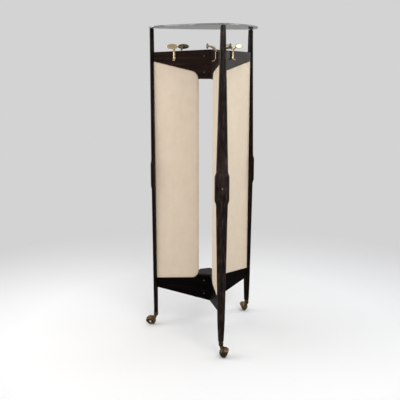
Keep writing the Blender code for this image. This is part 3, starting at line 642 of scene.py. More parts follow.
def from_bmesh(name: str, bm: BMesh) -> Object:
    """Makes an object of a bmesh, with its doubles merged and its faces turned outwards.

    Args:
        name: The object's name.
        bm: The bmesh, which is freed.

    Returns:
        The object.
    """
    bmesh.ops.remove_doubles(bm, verts=bm.verts, dist=MERGE_DISTANCE)
    bmesh.ops.recalc_face_normals(bm, faces=bm.faces)
    return as_object(name, bm)


def evaluated(obj: Object) -> bpy.types.Mesh:
    """Works an object's modifiers out.

    Args:
        obj: The object, which keeps them.

    Returns:
        A plain mesh with the modifiers applied.
    """
    bpy.context.view_layer.update()
    depsgraph = bpy.context.evaluated_depsgraph_get()
    return bpy.data.meshes.new_from_object(obj.evaluated_get(depsgraph))


def applied(obj: Object) -> Object:
    """Applies an object's modifiers to its mesh.

    Args:
        obj: The object.

    Returns:
        The object, without modifiers.
    """
    obj.data = evaluated(obj)
    obj.modifiers.clear()
    return obj


def cut(obj: Object, cutter: Object) -> Object:
    """Takes a cutter's solid out of an object.

    Args:
        obj: The object that is cut.
        cutter: The solid that is taken out and then removed.

    Returns:
        The object, with what is doubled merged.
    """
    taken = obj.modifiers.new("cut", "BOOLEAN")
    taken.operation = "DIFFERENCE"
    taken.object = cutter
    bm = opened(applied(obj).data)
    bpy.data.objects.remove(cutter)
    bmesh.ops.remove_doubles(bm, verts=bm.verts, dist=MERGE_DISTANCE)
    bm.to_mesh(obj.data)
    bm.free()
    return obj


def smoothed(obj: Object, sharp: float = SOFT_EDGE) -> Object:
    """Shades an object smooth, apart from its sharp edges.

    Args:
        obj: The object.
        sharp: The least angle of a sharp edge.

    Returns:
        The object.
    """
    obj.data.shade_smooth()
    obj.data.set_sharp_from_angle(angle=sharp)
    return obj


def placed(obj: Object, placement: Matrix) -> Object:
    """Moves an object's mesh to its place, so that the object stays at the origin."""
    obj.data.transform(placement)
    return obj


def copied(obj: Object, name: str, placement: Matrix) -> Object:
    """Returns an object with a copy of another's mesh, in its own place."""
    return placed(new_object(name, obj.data.copy()), placement)


def lathe(name: str, profile: Profile, steps: int = 64, closed: bool = False) -> Object:
    """Turns a profile about the Z axis.

    Args:
        name: The object's name.
        profile: Radius and height points.
        steps: The number of steps of a full turn.
        closed: Whether the profile closes on itself.

    Returns:
        The turned object, shaded smooth.
    """
    bm = bmesh.new()
    points = [bm.verts.new((radius, 0.0, height)) for radius, height in profile]
    for first, second in zip(points, points[1:] + points[:1] if closed else points[1:]):
        bm.edges.new((first, second))
    turned = as_object(name, bm)
    screw = turned.modifiers.new("turn", "SCREW")
    screw.steps = screw.render_steps = steps
    screw.use_merge_vertices = True
    screw.merge_threshold = MERGE_DISTANCE
    return smoothed(from_bmesh(name, reopened(applied(turned))))


def quarter_turn(steps: int) -> list[float]:
    """Returns the angles of a quarter turn from zero, in equal steps."""
    return [math.pi / 2 * i / steps for i in range(steps + 1)]


def rounded(corner: Point, radius: float, start: float, steps: int = 4) -> list[Point]:
    """Returns a quarter round about a centre, from an angle in degrees, turning clockwise."""
    angles = [math.radians(start) - turn for turn in quarter_turn(steps)]
    return [(corner[0] + radius * math.cos(a), corner[1] + radius * math.sin(a)) for a in angles]


def skinned(bm: BMesh, loops: Sequence[Sequence[bmesh.types.BMVert]]) -> None:
    """Skins a bmesh from loop to loop and closes both ends.

    Args:
        bm: The bmesh.
        loops: Its loops, each of equally many points.
    """
    for first, second in zip(loops, loops[1:]):
        for i in range(len(first)):
            j = (i + 1) % len(first)
            bm.faces.new((first[i], first[j], second[j], second[i]))
    bm.faces.new(loops[0])
    bm.faces.new(loops[-1])


def fused(obj: Object, cell: float, passes: int) -> Object:
    """Fuses overlapping solids into one casting with soft inner corners.

    Args:
        obj: An object of closed solids that overlap.
        cell: The size of the casting's faces.
        passes: How often its surface is relaxed.

    Returns:
        The object, with its new mesh shaded smooth.
    """
    remesh = obj.modifiers.new("fuse", "REMESH")
    remesh.mode = "VOXEL"
    remesh.voxel_size = cell
    relax = obj.modifiers.new("relax", "SMOOTH")
    relax.factor = RELAX_SHARE
    relax.iterations = passes
    applied(obj)
    obj.data.shade_smooth()
    return obj


def refined(node: str, name: str, ease: float, steps: int = 2) -> Object:
    """Makes a finer copy of a node's solid, with whole faces and softly rounded edges.

    Args:
        node: The node that is copied.
        name: The copy's name.
        ease: The width of the rounding.
        steps: The number of faces across it.

    Returns:
        The copy.
    """
    bm = opened(frame["nodes"][node].data)
    bmesh.ops.remove_doubles(bm, verts=bm.verts, dist=MERGE_DISTANCE)
    bmesh.ops.dissolve_limit(bm, angle_limit=SAME_PLANE, verts=bm.verts, edges=bm.edges)
    obj = from_bmesh(name, bm)
    bevel = obj.modifiers.new("ease", "BEVEL")
    bevel.width = ease
    bevel.segments = steps
    bevel.limit_method = "ANGLE"
    bevel.angle_limit = EASED_EDGE
    bevel.use_clamp_overlap = True
    smoothed(applied(obj), HARD_EDGE)
    obj.modifiers.new("even", "WEIGHTED_NORMAL").keep_sharp = True
    return applied(obj)


def deliver(piece: Object, finish: Finish, slot: Slot, body: str, *nodes: str) -> Object:
    """Dresses a piece, sets it on its body and lets it stand for its nodes.

    Args:
        piece: The finished piece, in its place.
        finish: Its finish.
        slot: The material slot meant for its finish; it is not used.
        body: The body that it moves with.
        nodes: The nodes that it stands for.

    Returns:
        The piece.
    """
    piece.data.materials.clear()
    piece.data.materials.append(finish.material())
    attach(piece, body)
    if nodes:
        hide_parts(*nodes)
    LOG.info("%s rides on %s: %d faces", piece.name, body, len(piece.data.polygons))
    return piece


class NodeGroup:
    """A geometry node group with named inputs, ending in realised geometry with one material."""

    def __init__(self, name: str, inputs: dict[str, str]) -> None:
        """Makes the group's sockets.

        Args:
            name: The group's name.
            inputs: Socket kinds by their labels, after the geometry that comes first.
        """
        self.tree = bpy.data.node_groups.new(name, "GeometryNodeTree")
        self.graph = Graph(self.tree)
        self.socket("Geometry", "INPUT", "Geometry")
        for label, kind in {**inputs, "Finish": "Material"}.items():
            self.socket(label, "INPUT", kind)
        self.socket("Geometry", "OUTPUT", "Geometry")
        self.given = self.graph.add("NodeGroupInput").outputs

    def socket(self, label: str, side: str, kind: str) -> None:
        """Adds an input or output socket."""
        self.tree.interface.new_socket(label, in_out=side, socket_type=f"NodeSocket{kind}")

    def close(self, geometry: Socket) -> None:
        """Ends the group: realises instances, sets the material and hands the geometry out.

        Args:
            geometry: The socket of the finished geometry.
        """
        real = self.graph.add("GeometryNodeRealizeInstances", {"Geometry": geometry}).outputs[0]
        dressed = {"Geometry": real, "Material": self.given["Finish"]}
        result = self.graph.add("GeometryNodeSetMaterial", dressed).outputs[0]
        self.graph.add("NodeGroupOutput", {"Geometry": result})

    def run(self, source: Object, values: dict[str, Any]) -> Object:
        """Runs the group on an object and makes the result its plain mesh.

        Args:
            source: The object whose geometry goes in.
            values: The inputs' values, by label.

        Returns:
            The object, with the group's mesh and no modifier.
        """
        modifier = source.modifiers.new(self.tree.name, "NODES")
        modifier.node_group = self.tree
        for item in self.tree.interface.items_tree:
            if item.in_out == "INPUT" and item.name in values:
                modifier[item.identifier] = values[item.name]
        return applied(source)


# The tripod


@dataclass(frozen=True)
class Tripod:
    """The stand's axis and the places of its fins and casters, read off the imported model."""

    axis: Vector
    joints: dict[str, dict[str, Any]]

    @classmethod
    def packed(cls) -> "Tripod":
        """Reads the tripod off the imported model.

        Returns:
            The tripod.
        """
        axis = Vector(frame["record"]["mounts"][0]["pos_m"])
        axis.z = 0.0
        return cls(axis, {joint["name"]: joint for joint in frame["joints"]})

    def swivel(self, fin: Fin) -> Vector:
        """Returns the point on the floor under a fin's swivel."""
        return Vector(self.joints[f"swivel_{fin.value}"]["pos_m"])

    def circle(self, fin: Fin) -> float:
        """Returns the distance of a fin's post from the axis."""
        return (self.swivel(fin) - self.axis).length

    def heading(self, fin: Fin) -> float:
        """Returns a fin's heading about +Z."""
        out = self.swivel(fin) - self.axis
        return math.atan2(out.y, out.x)

    def placement(self, fin: Fin) -> Matrix:
        """Returns a fin's frame: X out along the fin, Y square to it, Z up."""
        return Matrix.Translation(self.axis) @ Matrix.Rotation(self.heading(fin), 4, "Z")

    def lengthwise(self, name: str, stain: Stain, fin: Fin) -> EbonisedWood:
        """Returns the wood of one of a fin's arms, with its grain along the fin."""
        return EbonisedWood(f"ebonised_{name}", stain, Grain.LENGTHWISE, self.heading(fin))


# Posts


@dataclass(frozen=True)
class Posts:
    """The tapered posts: an oval section, crowned outside, that swells at a raised knuckle."""

    tripod: Tripod
    thickness: float = 0.022
    top_width: float = 0.0265
    waist_width: float = 0.062
    shin_width: float = 0.040
    shin_height: float = 0.190
    foot_width: float = 0.030
    knuckle_width: float = 0.0775
    knuckle_bottom: float = 0.838
    knuckle_top: float = 1.012
    knuckle_proud: float = 0.0035
    shoulder: float = 0.026
    shoulder_steps: int = 10
    shoulder_ease: float = 0.5
    ease: float = 0.0015
    spigot_half: float = 0.008
    crown_power: float = 2.1
    flat_power: float = 4.0
    screw_bore: float = 0.0051
    screw_bore_depth: float = 0.0031
    bore_sides: int = 40
    seat_gap: float = 0.0003
    top_shares: tuple[float, ...] = (0.35, 0.7, 1.0)
    sides: int = 56
    taper_steps: int = 10
    sharp: float = math.radians(50)

    def build(self) -> None:
        """Makes the posts."""
        group = self.loft()
        for fin in Fin:
            # The side posts' darker stain is painted shade.
            wood = FRONT_WOOD if fin is Fin.FRONT else SHADED_SIDE_WOOD
            name = f"post_{fin.value}_shaft"
            sizes = {
                "Sides": self.sides,
                "Inner Depth": self.thickness / 2,
                "Crown Power": self.crown_power,
                "Flat Power": self.flat_power,
                "Finish": wood.material(),
            }
            lofted = group.run(new_object(name, self.stations(fin)), sizes)
            post = smoothed(self.bored(from_bmesh(name, reopened(lofted))), self.sharp)
            placed(post, self.tripod.placement(fin) @ Matrix.Translation((self.tripod.circle(fin), 0, 0)))
            deliver(post, wood, Slot.WOOD, "frame", f"post_{fin.value}")

    def bored(self, post: Object) -> Object:
        """Sinks the seat of the panel screw's head into the middle of a post's knuckle.

        Args:
            post: The post, upright on the Z axis.

        Returns:
            The post.
        """
        face = self.thickness / 2 + self.knuckle_proud
        centre = Vector((face, 0.0, (self.knuckle_bottom + self.knuckle_top) / 2))
        place = Matrix.Translation(centre) @ Matrix.Rotation(math.pi / 2, 4, "Y")
        size = {"radius1": self.screw_bore, "radius2": self.screw_bore, "depth": 2 * self.screw_bore_depth}
        bm = bmesh.new()
        bmesh.ops.create_cone(bm, cap_ends=True, segments=self.bore_sides, matrix=place, **size)
        return cut(post, from_bmesh("screw_seat", bm))

    def stations(self, fin: Fin) -> bpy.types.Mesh:
        """Sets out a post's sections.

        Args:
            fin: The fin that the post belongs to.

        Returns:
            A mesh with a point for each section: half width, outer depth and height.
        """
        spigot_bottom, top = (corner.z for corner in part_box(f"post_{fin.value}"))
        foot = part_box(f"ferrule_{fin.value}")[1].z + self.seat_gap
        depth = self.thickness / 2
        rows = [
            (0.0, 0.0, spigot_bottom),
            (self.spigot_half, self.spigot_half, spigot_bottom),
            (self.spigot_half, self.spigot_half, foot),
            (self.foot_width / 2 - self.ease, depth - self.ease, foot),
        ]
        rows += self.taper(foot + self.ease, self.foot_width, self.shin_height, self.shin_width)
        rows += self.taper(self.shin_height, self.shin_width, self.knuckle_bottom, self.waist_width)[1:-1]
        rows += self.swell(self.knuckle_bottom, 1)
        rows += list(reversed(self.swell(self.knuckle_top, -1)))
        rows += self.taper(self.knuckle_top, self.waist_width, top - self.ease, self.top_width)[1:]
        for share in self.top_shares:
            drop = self.ease * (1 - math.sqrt(1 - share**2))
            rows.append((self.top_width / 2 - drop, depth - drop, top - self.ease * (1 - share)))
        rows.append((0.0, 0.0, top))
        mesh = bpy.data.meshes.new("post_stations")
        mesh.from_pydata(rows, [(i, i + 1) for i in range(len(rows) - 1)], [])
        return mesh

    def taper(self, low: float, low_width: float, high: float, high_width: float) -> list[Triple]:
        """Sets out a straight taper between two heights.

        Args:
            low: The lower height.
            low_width: The width there.
            high: The upper height.
            high_width: The width there.

        Returns:
            The taper's sections.
        """
        shares = [i / self.taper_steps for i in range(self.taper_steps + 1)]
        return [
            ((low_width + (high_width - low_width) * s) / 2, self.thickness / 2, low + (high - low) * s)
            for s in shares
        ]

    def swell(self, start: float, way: int) -> list[Triple]:
        """Sets out a knuckle's shoulder, from the waist to its full width.

        Args:
            start: The height at the waist.
            way: 1 where it swells upwards and -1 where it swells downwards.

        Returns:
            The shoulder's sections.
        """
        rows = []
        for i in range(self.shoulder_steps + 1):
            share = i / self.shoulder_steps
            eased = 0.5 - 0.5 * math.cos(math.pi * share)
            rise = share + (eased - share) * self.shoulder_ease
            width = self.waist_width + (self.knuckle_width - self.waist_width) * rise
            depth = self.thickness / 2 + self.knuckle_proud * rise
            rows.append((width / 2, depth, start + way * self.shoulder * share))
        return rows

    def loft(self) -> NodeGroup:
        """Builds the node group that lofts a post through its stations.

        Returns:
            The group.
        """
        kinds = {"Sides": "Int", "Inner Depth": "Float", "Crown Power": "Float", "Flat Power": "Float"}
        group = NodeGroup("post_loft", kinds)
        graph, given, calculate = group.graph, group.given, group.graph.calculate
        counted = graph.add("GeometryNodeAttributeDomainSize", {"Geometry": given["Geometry"]})
        count = counted.outputs["Point Count"]
        columns = calculate("ADD", given["Sides"], 1)
        sizes = {"Size X": 1.0, "Size Y": 1.0, "Vertices X": columns, "Vertices Y": count}
        sheet = graph.add("GeometryNodeMeshGrid", sizes).outputs["Mesh"]
        position = graph.add("GeometryNodeInputPosition").outputs[0]
        place = graph.add("ShaderNodeSeparateXYZ", {0: position}).outputs
        turn = calculate("MULTIPLY", calculate("ADD", place["X"], 0.5), 2 * math.pi)
        share = calculate("ADD", place["Y"], 0.5)
        row = calculate("ROUND", calculate("MULTIPLY", share, calculate("SUBTRACT", count, 1)))
        picked = {"Geometry": given["Geometry"], "Value": position, "Index": row}
        sampled = graph.add("GeometryNodeSampleIndex", picked, data_type="FLOAT_VECTOR").outputs[0]
        station = graph.add("ShaderNodeSeparateXYZ", {0: sampled}).outputs
        across, side = calculate("COSINE", turn), calculate("SINE", turn)
        outside = calculate("GREATER_THAN", across, 0.0)
        bow = calculate("SUBTRACT", given["Crown Power"], given["Flat Power"])
        power = calculate("ADD", given["Flat Power"], calculate("MULTIPLY", bow, outside))
        exponent = calculate("DIVIDE", 2.0, power)
        inner = calculate("MINIMUM", given["Inner Depth"], station["Y"])
        proud = calculate("MULTIPLY", calculate("SUBTRACT", station["Y"], inner), outside)
        depth = calculate("ADD", inner, proud)
        radial = calculate("MULTIPLY", self.rounding(graph, across, exponent), depth)
        sideways = calculate("MULTIPLY", self.rounding(graph, side, exponent), station["X"])
        point = graph.add("ShaderNodeCombineXYZ", {0: radial, 1: sideways, 2: station["Z"]}).outputs[0]
        skin = graph.add("GeometryNodeSetPosition", {"Geometry": sheet, "Position": point}).outputs[0]
        seam = {"Geometry": skin, "Distance": MERGE_DISTANCE}
        group.close(graph.add("GeometryNodeMergeByDistance", seam).outputs[0])
        return group

    @staticmethod
    def rounding(graph: Graph, value: Any, exponent: Any) -> Socket:
        """Returns a signed power of a value, which squares an oval's section up."""
        size = graph.calculate("POWER", graph.calculate("ABSOLUTE", value), exponent)
        return graph.calculate("MULTIPLY", graph.calculate("SIGN", value), size)


# Arms and hub blocks


@dataclass(frozen=True)
class Woodwork:
    """The boards that tie the posts to the hubs, and the blocks behind the hubs."""

    tripod: Tripod
    ease: float = 0.0005

    def build(self) -> None:
        """Makes the arms and the hub blocks."""
        for fin in Fin:
            upper = GLOSSY_STAIN if fin is Fin.RIGHT else UPPER_STAIN
            # The lower arms' near-black stain is painted shade.
            for level, stain in (("upper", upper), ("lower", SHADED_LOWER_STAIN)):
                node = f"{level}_arm_{fin.value}"
                board = refined(node, f"{node}_board", self.ease)
                deliver(board, self.tripod.lengthwise(node, stain, fin), Slot.WOOD, "frame", node)
        for level in ("upper", "lower"):
            node = f"hub_block_{level}"
            block = refined(node, f"{node}_wood", self.ease)
            deliver(block, BLOCK_WOOD, Slot.WOOD, "frame", node)


# Panels


@dataclass(frozen=True)
class Panels:
    """The upholstered panels: a thin layer of padding under leatherette, drawn tight round a board."""

    tripod: Tripod
    post_inner: float = 0.329
    inner: float = 0.076
    upper_edge: float = 1.562
    upper_slope: float = math.radians(13.0)
    upper_corner: float = 0.045
    lower_edge: float = 0.298
    lower_slope: float = math.radians(4.8)
    lower_corner: float = 0.042
    gap: float = 0.0004
    edge_half: float = 0.0087
    edge_round: float = 0.0036
    crown: float = 0.0010
    crown_run: float = 0.022
    least_corner: float = 0.0012
    # How fast the edge mask fades; the mask carries the cover's edge dirt and its painted edge shade.
    dirt_and_shade_run: float = 0.005
    pull: float = 0.00022
    pull_run: float = 0.014
    pull_pitch: float = 26.0
    ripple: float = 0.00010
    ripple_pitch: float = 18.0
    upright_steps: int = 90
    level_steps: int = 18
    corner_steps: int = 12
    edge_steps: int = 5
    fin_offset: float = 7.0
    side_offset: float = 3.0
    slack_offset: float = 50.0
    ripple_stretch: float = 3.0
    sharp: float = math.radians(60)
    insets: tuple[float, ...] = (0.006, 0.010, 0.016, 0.024, 0.034, 0.047, 0.062, 0.080, 0.100, 0.120)

    def build(self) -> None:
        """Makes the panels and dresses their hidden boards."""
        for fin in Fin:
            cover = self.cover(fin)
            deliver(cover, LEATHERETTE, Slot.LEATHERETTE, "frame", f"panel_cover_{fin.value}")
            core = frame["nodes"][f"panel_core_{fin.value}"]
            core.material_slots[0].material = CORE_BOARD.material()

    def cover(self, fin: Fin) -> Object:
        """Makes a fin's cover of rings that follow the panel's outline inwards.

        Args:
            fin: The fin that the panel fills.

        Returns:
            The cover, in its place.
        """
        front = [(inset, self.half(inset)) for inset in reversed(self.insets)]
        front += [
            (self.edge_round * (1 - math.sin(a)), self.edge_half - self.edge_round * (1 - math.cos(a)))
            for a in quarter_turn(self.edge_steps)
        ]
        bm = bmesh.new()
        dirt_and_shade = bm.verts.layers.float.new("edge_dirt_and_shade")
        loops = []
        for inset, half in front + [(inset, -half) for inset, half in reversed(front)]:
            loop = []
            for reach, height in self.outline(inset):
                uneven = self.unevenness(fin, reach, height, inset, half)
                vertex = bm.verts.new((reach, half + uneven, height))
                # Edge mask, 1 at the cover's edge, for its dirt and its painted shade.
                vertex[dirt_and_shade] = math.exp(-inset / self.dirt_and_shade_run)
                loop.append(vertex)
            loops.append(loop)
        skinned(bm, loops)
        cover = smoothed(from_bmesh(f"panel_{fin.value}_upholstery", bm), self.sharp)
        return placed(cover, self.tripod.placement(fin))

    def half(self, inset: float) -> float:
        """Returns the padded half thickness at a distance from the edge."""
        return self.edge_half + self.crown * (1 - math.exp(-(inset - self.edge_round) / self.crown_run))

    def unevenness(self, fin: Fin, reach: float, height: float, inset: float, half: float) -> float:
        """Works out how the cover sinks at a point, by the pull of its fixings and by slack.

        Args:
            fin: The fin that the panel fills.
            reach: The point's distance from the axis.
            height: Its height.
            inset: Its distance from the panel's edge.
            half: The half thickness there, negative on the back.

        Returns:
            The move along the fin's Y axis.
        """
        side = 1.0 if half > 0 else -1.0
        offset = self.fin_offset * list(Fin).index(fin) + self.side_offset * side
        along = Vector((reach * self.pull_pitch, offset, height * self.pull_pitch))
        level, upright = self.ripple_pitch, self.ripple_pitch / self.ripple_stretch
        slack = Vector((reach * level, offset + self.slack_offset, height * upright))
        pulled = self.pull * (0.5 + 0.5 * noise.noise(along)) * math.exp(-inset / self.pull_run)
        sunk = pulled + self.ripple * (0.5 + 0.5 * noise.noise(slack))
        return -side * sunk * min(1.0, inset / self.edge_round)

    def outline(self, inset: float) -> list[Point]:
        """Draws the panel's outline: out along the foot, up the post, back along the head and down.

        Args:
            inset: How far inside the panel's edge it lies.

        Returns:
            Points of reach and height.
        """
        outer = self.post_inner - self.gap - inset
        head = self.corner(inset, self.upper_edge, self.upper_slope, self.upper_corner, -1)
        foot = self.corner(inset, self.lower_edge, self.lower_slope, self.lower_corner, 1)
        outer_foot = (outer, self.edge(inset, outer, self.lower_edge, self.lower_slope, 1))
        outer_head = (outer, self.edge(inset, outer, self.upper_edge, self.upper_slope, -1))
        head = list(reversed(head))
        return (
            self.run(foot[-1], outer_foot, self.level_steps)
            + self.run(outer_foot, outer_head, self.upright_steps)
            + self.run(outer_head, head[0], self.level_steps)
            + head[:-1]
            + self.run(head[-1], foot[0], self.upright_steps)
            + foot[:-1]
        )

    def edge(self, inset: float, reach: float, height: float, slope: float, way: int) -> float:
        """Returns the height of an inset sloped edge at a distance from the axis."""
        fall = (self.post_inner - reach) * math.tan(slope)
        return height + way * (fall + (inset + self.gap) / math.cos(slope))

    def corner(self, inset: float, height: float, slope: float, radius: float, way: int) -> list[Point]:
        """Draws an inset corner's arc, from the inner edge round to the sloped edge.

        Args:
            inset: How far inside the panel's edge it lies.
            height: The sloped edge's height at the post.
            slope: The edge's angle.
            radius: The corner's radius at the panel's edge.
            way: 1 at the foot and -1 at the head.

        Returns:
            Points of reach and height.
        """
        left = max(radius - inset, self.least_corner)
        centre_reach = self.inner + self.gap + inset + left
        centre_height = self.edge(inset + left, centre_reach, height, slope, way)
        start, end = math.pi, math.pi + way * (math.pi / 2 - slope)
        angles = [start + (end - start) * i / self.corner_steps for i in range(self.corner_steps + 1)]
        return [(centre_reach + left * math.cos(a), centre_height + left * math.sin(a)) for a in angles]

    @staticmethod
    def run(start: Point, end: Point, steps: int) -> list[Point]:
        """Returns points along a straight run, without its end."""
        return [
            (start[0] + (end[0] - start[0]) * i / steps, start[1] + (end[1] - start[1]) * i / steps)
            for i in range(steps)
        ]


# Hooks


@dataclass(frozen=True)
class Hooks:
    """The cast hooks: an oval head, a neck that curves down to a seat on the arm, and a lower tongue."""

    tripod: Tripod
    head_reach: float = 0.050
    head_rise: float = 0.024
    head_length: float = 0.066
    head_height: float = 0.028
    head_thickness: float = 0.0075
    neck_half: float = 0.0034
    neck_half_width: float = 0.0045
    crook_swell: float = 0.0024
    seat_top: float = 0.010
    seat_bottom: float = 0.033
    seat_half: float = 0.0050
    seat_half_width: float = 0.0064
    tongue_reach: float = 0.027
    tongue_drop: float = 0.050
    tongue_half: float = 0.0021
    tongue_half_width: float = 0.0072
    bend: float = 0.62
    gap: float = 0.0003
    arm_half: float = 0.011
    head_columns: int = 64
    head_rows: int = 32
    sides: int = 20
    steps: int = 22
    tip_steps: int = 4
    tip_least: float = 0.08
    cell: float = 0.0007
    passes: int = 7
    # The hooks that take the brighter brass, as painted light.
    lit_hooks: tuple[str, ...] = ("hook_left_ccw", "hook_right_cw")

    def build(self) -> None:
        """Makes the hooks, each where its node sits on its arm."""
        pattern = self.casting()
        for fin in Fin:
            for side in ("ccw", "cw"):
                node = f"hook_{fin.value}_{side}"
                hook = copied(pattern, f"{node}_casting", self.seat(fin, node))
                # Bright brass on the listed hooks is painted light; the darker brass on the rest is painted shade.
                finish = LIT_HOOK_BRASS if node in self.lit_hooks else TARNISHED_AND_SHADED_BRASS
                deliver(hook, finish, Slot.BRASS, "frame", node)
        bpy.data.objects.remove(pattern)

    def seat(self, fin: Fin, node: str) -> Matrix:
        """Finds a hook's frame: X along the arm, Y away from its face, Z up from its top edge.

        Args:
            fin: The fin whose arm it sits on.
            node: The hook's node.

        Returns:
            The frame.
        """
        placement = self.tripod.placement(fin)
        back = placement.inverted()
        points = [back @ vertex.co for vertex in frame["nodes"][node].data.vertices]
        reach = (min(p.x for p in points) + max(p.x for p in points)) / 2
        height = max(p.z for p in points) - self.head_rise - self.head_height / 2
        outward = math.copysign(1.0, sum(p.y for p in points))
        turn = Matrix.Rotation(0.0 if outward > 0 else math.pi, 4, "Z")
        return placement @ Matrix.Translation((reach, outward * self.arm_half, height)) @ turn

    def casting(self) -> Object:
        """Casts a hook at the origin, fused from its stem and its head.

        Returns:
            The hook.
        """
        bm = bmesh.new()
        skinned(bm, [[bm.verts.new(point) for point in ring] for ring in self.stem()])
        size = (self.head_length / 2, self.head_thickness / 2, self.head_height / 2, 1.0)
        place = Matrix.Translation((0, self.head_reach, self.head_rise)) @ Matrix.Diagonal(size)
        mesh = {"u_segments": self.head_columns, "v_segments": self.head_rows}
        bmesh.ops.create_uvsphere(bm, radius=1.0, matrix=place, **mesh)
        bmesh.ops.recalc_face_normals(bm, faces=bm.faces)
        return fused(as_object("hook_pattern", bm), self.cell, self.passes)

    def stem(self) -> list[list[Vector]]:
        """Draws the stem, from the head down the neck and the seat to the tongue's tip.

        Returns:
            Its rings of points.
        """
        seat = self.gap + self.seat_half
        head = Vector((self.head_reach, self.head_rise))
        seat_top, seat_bottom = Vector((seat, -self.seat_top)), Vector((seat, -self.seat_bottom))
        tip = Vector((self.tongue_reach, -self.tongue_drop))
        neck = (
            head,
            head - Vector((self.bend * (head.x - seat), 0)),
            seat_top + Vector((0, self.bend * (head.y - seat_top.y))),
            seat_top,
        )
        tongue = (
            seat_bottom,
            seat_bottom - Vector((0, self.bend * (seat_bottom.y - tip.y))),
            tip - Vector((self.bend * (tip.x - seat), 0)),
            tip,
        )
        thin = (self.neck_half, self.neck_half_width)
        thick = (self.seat_half, self.seat_half_width)
        blade = (self.tongue_half, self.tongue_half_width)
        path = self.bent(neck, thin, thick, self.crook_swell) + self.bent(tongue, thick, blade)
        rings = []
        for i, (point, half, width) in enumerate(path):
            run = path[min(i + 1, len(path) - 1)][0] - path[max(i - 1, 0)][0]
            outward = Vector((-run.y, run.x)).normalized()
            tip_share = min(1.0, (len(path) - 1 - i) / self.tip_steps)
            close = math.sqrt(max(self.tip_least, 1 - (1 - tip_share) ** 2))
            ring = []
            for k in range(self.sides):
                angle = 2 * math.pi * k / self.sides
                place = point + outward * half * close * math.sin(angle)
                ring.append(Vector((width * close * math.cos(angle), place.x, place.y)))
            rings.append(ring)
        return rings

    def bent(
        self, curve: Sequence[Vector], start: Sequence[float], end: Sequence[float], swell: float = 0.0
    ) -> list[tuple[Vector, float, float]]:
        """Runs along a cubic curve.

        Args:
            curve: The curve's four points.
            start: Half thickness and half width at its start.
            end: Half thickness and half width at its end.
            swell: How much thicker its middle is.

        Returns:
            Points with half thicknesses and half widths.
        """
        a, b, c, d = curve
        path = []
        for i in range(self.steps + 1):
            share = i / self.steps
            rest = 1 - share
            point = a * rest**3 + b * 3 * share * rest**2 + c * 3 * share**2 * rest + d * share**3
            half, width = (low + (high - low) * share for low, high in zip(start, end))
            path.append((point, half + swell * (4 * share * rest) ** 2, width))
        return path


# Glass top


@dataclass(frozen=True)
class GlassTop:
    """The glass shelf and the pads that it lies on."""

    tripod: Tripod
    ease: float = 0.0006
    pad_radius: float = 0.0085
    pad_round: float = 0.0006
    pad_sides: int = 32
    edge_steps: int = 3

    def build(self) -> None:
        """Makes the pane and its pads."""
        pane = refined("glass_top", "glass_top_pane", self.ease, self.edge_steps)
        deliver(pane, PANE_GLASS, Slot.GLASS, "frame", "glass_top")
        for fin in Fin:
            node = f"glass_pad_{fin.value}"
            low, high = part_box(node)
            soft, edge = self.pad_round, self.pad_radius - self.pad_round
            profile = [(0.0, high.z), *rounded((edge, high.z - soft), soft, 90)]
            profile += [*rounded((edge, low.z + soft), soft, 0), (0.0, low.z)]
            button = lathe(f"{node}_button", profile, self.pad_sides)
            pad = placed(button, Matrix.Translation(self.tripod.swivel(fin)))
            deliver(pad, BUTTON_RUBBER, Slot.RUBBER, "frame", node)


# Casters


